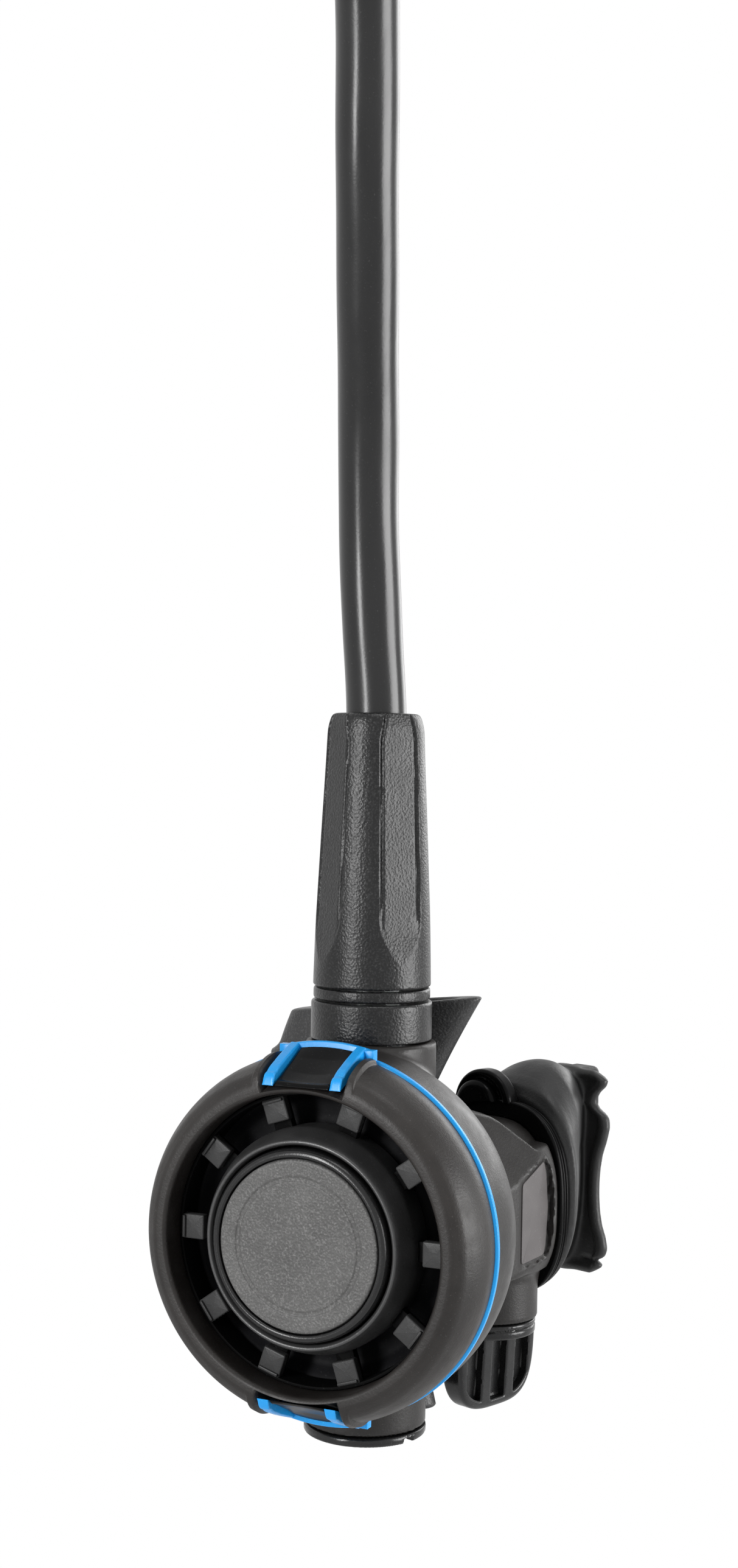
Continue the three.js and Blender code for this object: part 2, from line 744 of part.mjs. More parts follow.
// Vented grille: clamped flange, band, ten teeth, and the hub that guides the button.
function grille() {
  const band = openingRadius - gap;
  const guide = buttonRadius + sideGap;
  const frame = turned([
    [band - grilleBand, coverRear - gap],
    [grilleFlange, coverRear - gap],
    [grilleFlange, coverRear - 1.2 + gap],
    [band, coverRear - 1.2 + gap],
    [band, toothFront + 0.6],
    [band - grilleBand, toothFront + 0.6],
  ], wide, 'y');
  const hub = turned([
    [guide, hubLipFront + 0.4],
    [guide + 0.4, hubLipFront],
    [hubLipRadius, hubLipFront],
    [hubRadius, toothFront],
    [hubRadius, springSeatFront + springSeatDepth],
    [guide, springSeatFront + springSeatDepth],
  ], wide, 'y');
  const teeth = Array.from({ length: toothCount }, (_, i) => {
    const tooth = block([hubRadius - 0.8, band - 0.6], [toothFront, toothFront + toothDepth], [-toothWidth / 2, toothWidth / 2]);
    return tooth.rotateY((2 * Math.PI * i) / toothCount);
  });
  const seatBack = springSeatFront + springSeatDepth;
  const arms = [0, 1, 2].map((i) => {
    const arm = block([purgeSpringRadius, guide + 0.5], [springSeatFront, seatBack], [-1.5, 1.5]);
    return arm.rotateY((2 * Math.PI * i) / 3);
  });
  const springSeat = ring(purgeSpringRadius + 1.6, stemRadius + 1, springSeatFront, seatBack, middle, 'y');
  return join(frame, hub, springSeat, ...teeth, ...arms);
}

function purgeButton() {
  const plateRoom = buttonRadius - buttonRim;
  const skirtEnd = springSeatFront - buttonTravel - gap;
  return turned([
    [0, buttonFloor],
    [plateRoom, buttonFloor],
    [plateRoom, buttonFront + 0.4],
    [plateRoom + 0.5, buttonFront],
    [buttonRadius - 0.5, buttonFront + 0.1],
    [buttonRadius, buttonFront + 0.6],
    [buttonRadius, skirtEnd],
    [buttonRadius - buttonWall, skirtEnd],
    [buttonRadius - buttonWall, buttonBack],
    [stemRadius, buttonBack],
    [stemRadius, stemEnd],
    [0, stemEnd],
  ], middle, 'y');
}

function diaphragm() {
  const [low, high] = [seamY - diaphragmThickness / 2, seamY + diaphragmThickness / 2];
  const inner = discRadius + sideGap;
  return turned([
    [inner, low],
    [inner + 6, low],
    [inner + 9, low + 2],
    [inner + 13, low + 2],
    [inner + 15.5, low],
    [bezelInner - gap, low],
    [bezelInner - gap, high],
    [inner + 15, high],
    [inner + 12.6, high + 2],
    [inner + 9.4, high + 2],
    [inner + 6.4, high],
    [inner, high],
  ], middle, 'y');
}

function addCover() {
  add('front_cover', frontCover(), softTouch);
  add('bezel_ring', bezel(), blue);
  latchPanel('latch_panel_upper', 0);
  latchPanel('latch_panel_lower', Math.PI);
  add('cover_grille', grille(), blackPlastic);
  add('purge_button', purgeButton(), blackPlastic);
  const plateRadius = buttonRadius - buttonRim - gap;
  add('purge_face_plate', disc(plateRadius, buttonFront, buttonFloor - gap / 2, middle, 'y'), blackPlastic);
  const springLength = springSeatFront - gap - (buttonBack + gap);
  const spring = coil('purge_spring', purgeSpringRadius, springWire, purgeSpringTurns, 0, springLength);
  add('purge_spring', spring.rotateX(-Math.PI / 2).translate(0, buttonBack + gap, 0), steel);
  add('diaphragm', diaphragm(), clearSilicone);
  add('diaphragm_disc', disc(discRadius, discFront, discFront + discThickness, middle, 'y'), blackPlastic);
}

// ------------------------------------------------------------------ rear case

const knobAxis = ductPoint(knobAlong, knobAside, 0);
const plateAlong = [ductLength - 13.1, ductLength - 3.5];
const plateAside = 17.2;

function labelOutline(margin) {
  const [near, far] = plateAlong;
  return [
    [near - margin, 4.4 + margin],
    [far - 2.4, 8.6 + margin],
    [far - 0.6 + margin, 4],
    [far + margin, -3.4],
    [far - 0.8 + margin, -11 - margin / 2],
    [near - margin, -13.8 - margin],
  ];
}

// The label's outline spread between two distances from the duct's axis.
function labelPrism(margin, from, to) {
  const outline = labelOutline(margin);
  return loft([from, to].map((across) => outline.map(([along, height]) => ductPoint(along, across, height))));
}

function ductOuter() {
  return ductLoft([
    { at: -6, width: 25, height: 23, aside: 4.6, rise: -0.6 },
    { at: 8, width: 22.4, height: 20.6, aside: 2.4, rise: -1.6 },
    { at: 20, width: 19.7, height: 19.5, aside: 0.5, rise: -2.6 },
    { at: ductLength, width: ductHalfWidth, height: ductHalfHeight },
  ]);
}

function rearCase() {
  const shell = turned([
    [0, rimFace],
    [caseRim, rimFace],
    [caseRim, rimFace + 8],
    [caseRim - 0.6, rimFace + 11],
    [caseRim - 3.2, caseBack - 13],
    [caseRim - 7.5, caseBack - 6.5],
    [caseRim - 13.5, caseBack - 2],
    [0, caseBack],
  ], wide, 'y');
  const cavity = turned([
    [0, rimFace - 2],
    [caseRim - caseWall, rimFace - 2],
    [caseRim - caseWall, rimFace + 11],
    [caseRim - caseWall - 3.6, caseBack - 12],
    [caseRim - caseWall - 9, caseBack - 6],
    [0, caseBack - 3.5],
  ], middle, 'y');
  const bossFoot = ductPoint(knobAlong, knobAside, 0);
  const body = join(
    shell,
    disc(bossRadius, 24, bossTop, middle),
    disc(tubeRadius, tubeFoot, -24, middle),
    ductOuter(),
    ductLoft([
      { at: ductLength - 2, width: socketHalfWidth, height: socketHalfHeight },
      { at: ductLength + socketLength, width: socketHalfWidth, height: socketHalfHeight },
    ]),
    disc(knobBossRadius, knobBossFoot, -12, middle).translate(bossFoot.x, bossFoot.y, 0),
    disc(portBossRadius, portFace, portFace + 14, middle, 'x').translate(0, portY, 0),
  );
  const bore = ductLoft([
    { at: -14, width: 17, height: 17, aside: 0, rise: -0.6 },
    { at: 6, width: 16, height: 16, rise: -1.6 },
    { at: 20, width: socketHalfWidth, height: socketHalfHeight - 0.5, rise: -2.6 },
    { at: ductLength, width: socketHalfWidth - socketWall, height: socketHalfHeight - socketWall },
    { at: ductLength + socketLength + 1, width: socketHalfWidth - socketWall, height: socketHalfHeight - socketWall },
  ]);
  const spider = join(
    ring(portRadius + 1, portRadius - 0.5, portFace + 0.8, portFace + 2.4, middle, 'x'),
    ring(3.2, 1.5, portFace + 0.8, portFace + 2.4, small, 'x'),
    ...[0, 1, 2].map((i) => block([portFace + 0.8, portFace + 2.4], [2.6, portRadius + 0.6], [-0.9, 0.9])
      .rotateX((2 * Math.PI * i) / 3)),
  ).translate(0, portY, 0);
  const clampRoom = cut(
    ductLoft([
      { at: ductLength, width: socketHalfWidth + clampRise + 1, height: socketHalfHeight + clampRise + 1.4 },
      { at: ductLength + socketLength - 1, width: socketHalfWidth + clampRise + 1, height: socketHalfHeight + clampRise + 1.4 },
    ]),
    ductLoft([
      { at: ductLength - 1, width: socketHalfWidth, height: socketHalfHeight },
      { at: ductLength + socketLength, width: socketHalfWidth, height: socketHalfHeight },
    ]),
  );
  const hollow = cut(
    body,
    cavity,
    bore,
    disc(barrelRadius + gap, tubeFoot - 1, bossTop + 1, middle),
    disc(shaftRadius + gap, knobBossFoot - 1, -10, small).translate(bossFoot.x, bossFoot.y, 0),
    disc(portRadius, portFace - 1, portFace + 22, middle, 'x').translate(0, portY, 0),
    labelPrism(0.35, plateAside - 1.2, plateAside + 8),
    clampRoom,
  );
  return join(hollow, spider);
}

// Oval band that holds the mouthpiece on its socket, with a rounded ear on top.
function mouthClamp() {
  const start = ductLength + gap;
  const end = start + clampLength;
  const reach = (extra, at) => ({
    at,
    width: socketHalfWidth + clampRise + extra,
    height: socketHalfHeight + clampRise + 0.4 + extra,
  });
  const band = ductLoft([
    reach(-0.6, start),
    reach(-0.1, start + 0.8),
    reach(-0.7, start + 1.4),
    reach(0, start + 2),
    reach(0.2, end),
  ]);
  const earCentre = ductPoint((start + end) / 2, earOffset, ductDrop + socketHalfHeight + clampRise);
  const ear = new THREE.CylinderGeometry(earRadius, earRadius, clampLength, 24).rotateZ(-ductYaw);
  ear.translate(earCentre.x, earCentre.y, earCentre.z);
  const dome = new THREE.SphereGeometry(earRadius - 2.4, 16, 8).scale(1, 0.42, 1).rotateZ(-ductYaw);
  const domeCentre = ductPoint(start - 0.2, earOffset, ductDrop + socketHalfHeight + clampRise + 0.5);
  dome.translate(domeCentre.x, domeCentre.y, domeCentre.z);
  const room = ductLoft([
    { at: start - 5, width: socketHalfWidth + gap, height: socketHalfHeight + gap },
    { at: end + 1, width: socketHalfWidth + gap, height: socketHalfHeight + gap },
  ]);
  const caseRoom = ductLoft([
    { at: start - 12, width: ductHalfWidth + 4, height: ductHalfHeight + 3.4 },
    { at: start, width: ductHalfWidth + 0.4, height: ductHalfHeight + gap + 0.2 },
  ]);
  return cut(join(band, ear, dome), room, caseRoom);
}

function mouthpiece() {
  const start = ductLength + 2 * gap + clampLength;
  const tip = start + 22;
  const outer = ductLoft([
    { at: start, width: 17.3, height: 21, rise: -2.9 },
    { at: start + 1.6, width: 17.7, height: 22.4, rise: -0.9 },
    { at: start + 6, width: 16.6, height: 22.9, rise: 0.4 },
    { at: start + 12, width: 12.8, height: 22.9, rise: 1 },
    { at: start + 18, width: 9, height: 21.9, rise: 0.5 },
    { at: tip, width: 8.2, height: 21.7, rise: 0.4 },
  ], 2.3);
  const airway = ductLoft([
    { at: start - 1, width: socketHalfWidth + gap, height: socketHalfHeight + gap },
    { at: ductLength + socketLength + gap, width: socketHalfWidth + gap, height: socketHalfHeight + gap },
    { at: ductLength + socketLength + 2, width: socketHalfWidth - 3, height: socketHalfHeight - 1.5, rise: -1.5 },
    { at: tip + 1, width: 5.4, height: 15, rise: 0.4 },
  ]);
  const bites = [11.6, -10.8].map((height) => ductLoft([
    { at: tip - 2, width: 7.6, height: 6.4, rise: height },
    { at: tip + biteLength, width: 7.2, height: 5.6, rise: height },
  ]));
  const mouth = ductLoft([
    { at: tip - 3, width: 5.4, height: 15, rise: 0.4 },
    { at: tip + biteLength + 1, width: 5.2, height: 14.4, rise: 0.4 },
  ]);
  return cut(join(outer, ...bites), airway, mouth);
}

function addCase() {
  add('rear_case', rearCase(), softTouch);
  add('label_plate', labelPrism(0, plateAside - 1.2 + gap, plateAside), greyLabel);
  add('mouthpiece_clamp', mouthClamp(), glossBlack);
  add('mouthpiece', mouthpiece(), silicone);
}

// ------------------------------------------------------------------ flow knob

function flowKnob() {
  const top = knobBossFoot - gap;
  const flangeFoot = top - knobFlange;
  const tip = flangeFoot - gripDrop;
  const bend = flangeFoot - gripDrop * 0.42;
  const outline = new THREE.Shape();
  outline.moveTo(-knobRadius + 0.3, flangeFoot + 0.6);
  outline.lineTo(-knobRadius + 0.3, bend);
  outline.absellipse(0, bend, knobRadius - 0.3, bend - tip, Math.PI, 2 * Math.PI, false);
  outline.lineTo(knobRadius - 0.3, flangeFoot + 0.6);
  const grip = new THREE.ExtrudeGeometry(outline, { depth: 2 * gripHalfThickness, bevelEnabled: false, curveSegments: 16 });
  grip.rotateX(Math.PI / 2).translate(0, gripHalfThickness, 0);
  const pitch = (2 * knobRadius - 1.2) / 3;
  const slots = [-1, 0, 1].flatMap((place) => [-1, 1].map((side) => {
    const drop = place === 0 ? 0.86 : 0.72;
    const y = side > 0 ? [gripHalfThickness - gripSlotDepth, gripHalfThickness + 1] : [-gripHalfThickness - 1, gripSlotDepth - gripHalfThickness];
    return block(
      [place * pitch - gripSlotWidth / 2, place * pitch + gripSlotWidth / 2],
      y,
      [flangeFoot - gripDrop * drop, flangeFoot - 0.9],
    );
  }));
  const sealAt = top + 5;
  const stem = turned([
    [0, top - 1],
    [shaftRadius, top - 1],
    [shaftRadius, sealAt - 0.8],
    [shaftRadius - 1.2, sealAt - 0.8],
    [shaftRadius - 1.2, sealAt + 0.8],
    [shaftRadius, sealAt + 0.8],
    [shaftRadius, top + shaftHeight],
    [0, top + shaftHeight],
  ], small);
  const slotted = cut(grip, ...slots).rotateZ(Math.PI / 2 - ductYaw);
  const keyway = block([-vaneRadius, vaneRadius], [-vaneThickness / 2 - 0.2, vaneThickness / 2 + 0.2], [top + shaftHeight - 2, top + shaftHeight + 1]);
  const flange = turned([
    [0, flangeFoot],
    [knobRadius - 0.5, flangeFoot],
    [knobRadius, flangeFoot + 0.5],
    [knobRadius, top - 0.5],
    [knobRadius - 0.5, top],
    [0, top],
  ], middle);
  return cut(join(flange, stem, slotted), keyway.rotateZ(Math.PI / 2 - ductYaw));
}

function addKnob() {
  const top = knobBossFoot - gap;
  const vaneFoot = top + shaftHeight - 2 + gap;
  const vane = block([-vaneRadius, vaneRadius], [-vaneThickness / 2, vaneThickness / 2], [vaneFoot + 2, vaneFoot + 2 + vaneHeight]);
  const tang = block([-shaftRadius, shaftRadius], [-vaneThickness / 2, vaneThickness / 2], [vaneFoot, vaneFoot + 3]);
  const place = new THREE.Vector3(knobAxis.x, knobAxis.y, 0);
  add('flow_knob', flowKnob(), blackPlastic, place);
  add('flow_knob_seal', seal(shaftRadius - 0.45, 0.5, top + 5), blackRubber, place);
  add('flow_vane', join(vane, tang).rotateZ(Math.PI / 2 - ductYaw), steel, place);
}

// ------------------------------------------------------------------ exhaust

// Sections are { z, x, width, depth, lean, y }: half sizes, with the rim's height rising by lean across x.
function hornLoft(sections) {
  return loft(
    sections.map(({ z, x, width, depth, y = hornY, lean = 0 }) =>
      oval(width, depth, 2.2).map(([across, back]) => new THREE.Vector3(x + across, y + back, z + lean * across)),
    ),
  );
}

function exhaustDeflector() {
  const horn = (wall, over) => [
    { z: 22.7 - over, x: -16.5, width: 18.6 - wall, depth: hornHalfDepth - wall },
    { z: 29, x: -12.2, width: 19.4 - wall, depth: hornHalfDepth - wall },
    { z: 39.6 + over * 2, x: -5.6, width: 20 - wall, depth: hornHalfDepth - wall, lean: 0.12 },
  ];
  const foot = (wall, over) => [
    { z: -24.4 + over, x: -19, width: 15.6 - wall, depth: hornHalfDepth - wall },
    { z: -32, x: -14.6, width: 18 - wall, depth: hornHalfDepth - wall },
    { z: -42.6 - over * 2, x: -9.4, width: 16.4 - wall, depth: hornHalfDepth - wall },
  ];
  const chamber = (wall, rise) => [
    { z: -rise, x: chamberX, width: chamberHalfWidth - 1.4 - wall, depth: hornHalfDepth + 1 - wall, y: hornY + 1.6 },
    { z: -rise + 6, x: chamberX, width: chamberHalfWidth - wall, depth: chamberHalfDepth - wall, y: chamberY },
    { z: rise - 6, x: chamberX, width: chamberHalfWidth - wall, depth: chamberHalfDepth - wall, y: chamberY },
    { z: rise, x: chamberX, width: chamberHalfWidth - 1.4 - wall, depth: hornHalfDepth + 1 - wall, y: hornY + 1.6 },
  ];
  const body = join(hornLoft(horn(0, 0)), hornLoft(foot(0, 0)), hornLoft(chamber(0, 26.5)));
  const hollow = cut(
    body,
    hornLoft(chamber(hornWall, 26.5 - 0.2)),
    hornLoft(horn(hornWall, -1.6)).translate(0, 0, 0),
    hornLoft(foot(hornWall, -1.6)),
    hornLoft([
      { z: 30, x: -12, width: 17.8, depth: hornHalfDepth - hornWall },
      { z: 39.6, x: -5.6, width: 20 - hornWall, depth: hornHalfDepth - hornWall, lean: 0.12 },
      { z: 45, x: -3, width: 21, depth: hornHalfDepth - hornWall, lean: 0.12 },
    ]),
    hornLoft([
      { z: -30, x: -15, width: 16, depth: hornHalfDepth - hornWall },
      { z: -42.6, x: -9.4, width: 16.4 - hornWall, depth: hornHalfDepth - hornWall },
      { z: -46, x: -8, width: 15.4, depth: hornHalfDepth - hornWall },
    ]),
    disc(portBossRadius + gap, chamberX, chamberX + 12, middle, 'x').translate(0, portY, 0),
  );
  return hollow;
}

function exhaustValve() {
  const face = portFace - gap;
  return turned([
    [0, face - valveFlapThickness - 0.6],
    [2, face - valveFlapThickness - 0.6],
    [3, face - valveFlapThickness],
    [valveFlapRadius, face - valveFlapThickness + 0.3],
    [valveFlapRadius, face],
    [1.2, face],
    [1.2, portFace + 4.8],
    [0, portFace + 4.8],
  ], middle, 'x').translate(0, portY, 0);
}

function addExhaust() {
  add('exhaust_deflector', exhaustDeflector(), blackPlastic);
  add('exhaust_valve', exhaustValve(), clearSilicone);
}

addHose();
addValve();
addCover();
addCase();
addKnob();
addExhaust();

const group = new THREE.Group();
group.add(assembly);

export default group;
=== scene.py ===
"""Scuba regulator second stage on its low-pressure hose: fine surfaces, finishes and studio.

Shapes are worked out in the second stage's own frame, in millimetres: x and y are zero on the valve
tube's axis, z is zero at the middle of the front cover, whose face looks along -y. Across the mouthpiece's
duct, s runs along the duct and w across it.
"""
import logging
import math
from dataclasses import dataclass
from enum import Enum
from typing import Callable

import bmesh
import bpy
import numpy as np
from mathutils import Matrix, Vector


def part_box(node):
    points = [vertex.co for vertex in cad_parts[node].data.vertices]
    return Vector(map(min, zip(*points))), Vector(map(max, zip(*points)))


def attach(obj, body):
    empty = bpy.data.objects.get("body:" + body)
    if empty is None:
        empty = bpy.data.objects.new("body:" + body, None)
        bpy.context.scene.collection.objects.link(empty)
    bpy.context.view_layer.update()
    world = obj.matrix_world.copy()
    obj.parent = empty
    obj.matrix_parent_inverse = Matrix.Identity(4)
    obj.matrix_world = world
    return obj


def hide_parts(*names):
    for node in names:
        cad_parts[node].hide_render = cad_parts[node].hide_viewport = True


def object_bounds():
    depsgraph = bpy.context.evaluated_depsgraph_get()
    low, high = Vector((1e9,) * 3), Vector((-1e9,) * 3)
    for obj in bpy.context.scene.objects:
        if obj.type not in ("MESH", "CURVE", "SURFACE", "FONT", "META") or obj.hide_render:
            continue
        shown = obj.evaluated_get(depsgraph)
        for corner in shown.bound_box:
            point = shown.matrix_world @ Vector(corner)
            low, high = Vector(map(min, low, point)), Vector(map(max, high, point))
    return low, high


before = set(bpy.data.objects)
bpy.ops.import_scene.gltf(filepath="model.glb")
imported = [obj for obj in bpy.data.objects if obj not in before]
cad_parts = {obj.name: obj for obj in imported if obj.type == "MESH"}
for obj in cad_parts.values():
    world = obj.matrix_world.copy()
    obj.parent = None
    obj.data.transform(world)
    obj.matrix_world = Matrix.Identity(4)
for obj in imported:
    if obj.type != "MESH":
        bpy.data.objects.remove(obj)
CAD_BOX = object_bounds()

Array = np.ndarray
Field = Callable[[Array], Array]
Change = Callable[[Array, Array, Array], Array]
Corners = list[tuple[float, float]]
Triple = tuple[float, float, float]
LOG = logging.getLogger("regulator")
MM = 0.001


# ------------------------------------------------------------------ frame and mesh tools


@dataclass(frozen=True)
class Bench:
    """Where the second stage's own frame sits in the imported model, in metres."""

    x: float
    y: float
    z: float

    @classmethod
    def from_nodes(cls) -> "Bench":
        """Finds the frame from the round collar and the round button.

        Returns:
            The frame.
        """
        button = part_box("purge_button")
        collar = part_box("inlet_collar")
        return cls(
            float(button[0][0] + button[1][0]) / 2,
            float(collar[0][1] + collar[1][1]) / 2,
            float(button[0][2] + button[1][2]) / 2,
        )

    def world(self, points: Array) -> Array:
        """Returns bench points, in millimetres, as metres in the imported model's frame."""
        return np.asarray(points, float) * MM + np.array([self.x, self.y, self.z])


BENCH = Bench.from_nodes()
DUCT_YAW = math.radians(20.0)
DUCT_ROOT = 14.0


def to_duct(points: Array) -> tuple[Array, Array, Array]:
    """Splits points into duct measures: along the duct, across it, and height.

    Args:
        points: bench points.

    Returns:
        The three measures, s, w and z.
    """
    across_y = points[..., 1] - DUCT_ROOT
    along = points[..., 0] * math.sin(DUCT_YAW) + across_y * math.cos(DUCT_YAW)
    aside = points[..., 0] * math.cos(DUCT_YAW) - across_y * math.sin(DUCT_YAW)
    return along, aside, points[..., 2]


def from_duct(along: Array, aside: Array, height: Array) -> Array:
    """Builds bench points from duct measures, the reverse of to_duct.

    Args:
        along: places along the duct.
        aside: places across it.
        height: heights.

    Returns:
        The bench points.
    """
    along, aside, height = np.broadcast_arrays(along, aside, height)
    x = along * math.sin(DUCT_YAW) + aside * math.cos(DUCT_YAW)
    y = DUCT_ROOT + along * math.cos(DUCT_YAW) - aside * math.sin(DUCT_YAW)
    return np.stack([x, y, height], -1)


@dataclass
class Shell:
    """Bench points and the quads that join them."""

    points: Array
    faces: Array

    def moved(self, x: float, y: float) -> "Shell":
        """Returns a copy shifted by x and y."""
        return Shell(self.points + np.array([x, y, 0.0]), self.faces)

    def turned(self, axis: str, degrees: float) -> "Shell":
        """Returns a copy turned about a bench axis."""
        spin = np.array(Matrix.Rotation(math.radians(degrees), 3, axis))
        return Shell(self.points @ spin.T, self.faces)

    def tipped(self) -> "Shell":
        """Returns a copy with y and z exchanged."""
        return Shell(self.points[:, [0, 2, 1]], self.faces)

    def on_duct(self) -> "Shell":
        """Returns a copy whose coordinates were duct measures, as bench points."""
        return Shell(from_duct(*self.points.T), self.faces)


def joined(*shells: Shell) -> Shell:
    """Puts several shells in one, each left as it is.

    Args:
        shells: the shells.

    Returns:
        One shell with all their points and faces.
    """
    starts = np.cumsum([0] + [len(shell.points) for shell in shells[:-1]])
    points = np.concatenate([shell.points for shell in shells])
    faces = np.concatenate([shell.faces + start for shell, start in zip(shells, starts)])
    return Shell(points, faces)


def grid(points: Array, round_rows: bool = False) -> Shell:
    """Quads over a rows by columns net of points, whose last column meets the first.

    Args:
        points: rows x columns x 3 places.
        round_rows: whether the last row meets the first too.

    Returns:
        The net as a shell.
    """
    rows, columns = points.shape[:2]
    row = np.arange(rows if round_rows else rows - 1)
    a, b = np.meshgrid(row, np.arange(columns), indexing="ij")
    below, beside = (a + 1) % rows, (b + 1) % columns
    here, next_row = a * columns, below * columns
    quads = np.stack([here + b, here + beside, next_row + beside, next_row + b], -1)
    return Shell(points.reshape(-1, 3), quads.reshape(-1, 4))


def capped(points: Array) -> Shell:
    """Quads over a net that is round across its columns, closed at both ends on each end ring's middle.

    Args:
        points: rings x places x 3 coordinates.

    Returns:
        The closed shell.
    """
    ends = [np.repeat(points[end].mean(0)[None, None], points.shape[1], 1) for end in (0, -1)]
    return grid(np.concatenate([ends[0], points, ends[1]]))


def eased(corners: Array | Corners, radius: float | tuple[float, ...], steps: int = 5,
          closed: bool = True) -> Array:
    """Rounds each corner of a profile with the parabola that leaves and meets its two sides.

    The cut on each side is the radius, or 45% of the side where that is less.

    Args:
        corners: rows of two coordinates.
        radius: the cut at every corner, or one cut for each.
        steps: points on each rounded corner.
        closed: whether the profile meets itself.

    Returns:
        The rounded profile.
    """
    corners = np.asarray(corners, float)
    radius = np.broadcast_to(np.asarray(radius, float), (len(corners),))[:, None]
    before, after = np.roll(corners, 1, 0), np.roll(corners, -1, 0)
    to_before, to_after = before - corners, after - corners
    left = np.linalg.norm(to_before, axis=1, keepdims=True) + 1e-9
    right = np.linalg.norm(to_after, axis=1, keepdims=True) + 1e-9
    start = corners + to_before / left * np.minimum(radius, 0.45 * left)
    end = corners + to_after / right * np.minimum(radius, 0.45 * right)
    t = np.linspace(0, 1, steps)[None, :, None]
    arcs = (1 - t) ** 2 * start[:, None] + 2 * t * (1 - t) * corners[:, None] + t**2 * end[:, None]
    if not closed:
        arcs[0] = corners[0]
        arcs[-1] = corners[-1]
    return arcs.reshape(-1, 2)


def denser(profile: Array, span: float, closed: bool = True) -> Array:
    """Adds points to a profile so that none of its sides is longer than span, by straight interpolation.

    Args:
        profile: rows of coordinates.
        span: the longest side wanted.
        closed: whether the profile meets itself.

    Returns:
        The profile with more points.
    """
    path = np.concatenate([profile, profile[:1]]) if closed else profile
    length = np.linalg.norm(np.diff(path, axis=0), axis=1)
    at = np.concatenate([[0], np.cumsum(length)])
    wanted = np.unique(np.concatenate([at, np.linspace(0, at[-1], max(2, int(at[-1] / span)))]))
    keep = np.concatenate([[True], np.diff(wanted) > 1e-3])
    wanted = wanted[keep]
    dense = np.stack([np.interp(wanted, at, path[:, k]) for k in range(path.shape[1])], -1)
    return dense[:-1] if closed else dense


def round_angles(count: int) -> Array:
    """Returns angles at equal steps round a full turn."""
    return np.arange(count) * 2 * math.pi / count


def turned(profile: Array, axis: str, segments: int, closed: bool = True,
           change: Change | None = None) -> Shell:
    """A profile of radius and height carried round a bench axis.

    Args:
        profile: rows of radius and height.
        axis: Z, Y or X, the axis that it turns about.
        segments: steps in a full turn.
        closed: whether the profile meets itself; if not, it starts and ends on the axis.
        change: takes angle, radius and height over the whole net, and returns the new radius.

    Returns:
        The turned shell.
    """
    angle = round_angles(segments)
    radius = np.repeat(profile[:, :1], segments, 1)
    height = np.repeat(profile[:, 1:], segments, 1)
    angle = np.repeat(angle[None], len(profile), 0)
    if change is not None:
        radius = change(angle, radius, height)
    u, v = radius * np.cos(angle), radius * np.sin(angle)
    order = {"Z": (u, v, height), "Y": (v, height, u), "X": (height, u, v)}[axis]
    return grid(np.stack(order, -1), round_rows=closed)


def lathed(corners: Corners, cuts: float | tuple[float, ...], span: float, axis: str, segments: int,
           steps: int = 5, closed: bool = True, change: Change | None = None) -> Shell:
    """A profile with its corners eased and its sides cut to a span, carried round a bench axis.

    Args:
        corners: radius and height of each corner.
        cuts: the cut at every corner, or one cut for each.
        span: the longest side wanted.
        axis: Z, Y or X, the axis that it turns about.
        segments: steps in a full turn.
        steps: points on each rounded corner.
        closed: whether the profile meets itself; if not, it starts and ends on the axis.
        change: takes angle, radius and height over the whole net, and returns the new radius.

    Returns:
        The turned shell.
    """
    return turned(denser(eased(corners, cuts, steps, closed), span, closed), axis, segments, closed, change)


def prism(outline: Array, low: float, high: float, ease: float, steps: int = 4) -> Shell:
    """An outline carried up from low to high, with quarter-round edges of radius ease at both ends.

    Args:
        outline: rows of two coordinates.
        low: height of the lower end.
        high: height of the upper end.
        ease: radius of the edges.
        steps: rings on each rounded edge.

    Returns:
        The closed shell.
    """
    outline = np.asarray(outline, float)
    side = np.roll(outline, -1, 0) - np.roll(outline, 1, 0)
    normal = np.stack([side[:, 1], -side[:, 0]], -1)
    normal /= np.linalg.norm(normal, axis=1, keepdims=True) + 1e-9
    area = np.sum(outline[:, 0] * np.roll(outline[:, 1], -1) - outline[:, 1] * np.roll(outline[:, 0], -1))
    turn = np.linspace(0, math.pi / 2, steps)
    inset = ease * (1 - np.sin(turn))
    rise = ease * (1 - np.cos(turn))
    insets = np.concatenate([inset, inset[::-1]])
    heights = np.concatenate([low + rise, (high - rise)[::-1]])
    rings = outline[None] - np.sign(area) * normal[None] * insets[:, None, None]
    level = np.repeat(heights[:, None, None], len(outline), 1)
    return capped(np.concatenate([rings, level], -1))


def box_outline(middle: float, half_x: float, half_y: float, corner: float) -> Array:
    """A rectangle's outline with rounded corners.

    Args:
        middle: place of its middle along its first side.
        half_x: half its first side.
        half_y: half its second side.
        corner: cut at each corner.

    Returns:
        The outline.
    """
    corners = np.array([[-half_x, -half_y], [half_x, -half_y], [half_x, half_y], [-half_x, half_y]])
    return denser(eased(corners, corner, 6), 1.2) + np.array([middle, 0.0])


def squircle(half_a: Array, half_b: Array, power: float, count: int) -> tuple[Array, Array]:
    """A superellipse: |a/A|^p + |b/B|^p = 1, as its two coordinates round a full turn.

    Args:
        half_a: half width A.
        half_b: half height B.
        power: the power p.
        count: points round a full turn.

    Returns:
        The two coordinates.
    """
    turn = round_angles(count)
    a = np.sign(np.cos(turn)) * np.abs(np.cos(turn)) ** (2 / power)
    b = np.sign(np.sin(turn)) * np.abs(np.sin(turn)) ** (2 / power)
    return half_a * a, half_b * b


def ring_seal(radius: float, section: float, height: float) -> Shell:
    """A plain ring seal about Z: a circle carried round a circle.

    Args:
        radius: radius of the ring's middle line.
        section: radius of its section.
        height: its height.

    Returns:
        The seal.
    """
    turn = round_angles(14)
    profile = np.stack([radius + section * np.cos(turn), height + section * np.sin(turn)], -1)
    return turned(profile, "Z", 72)


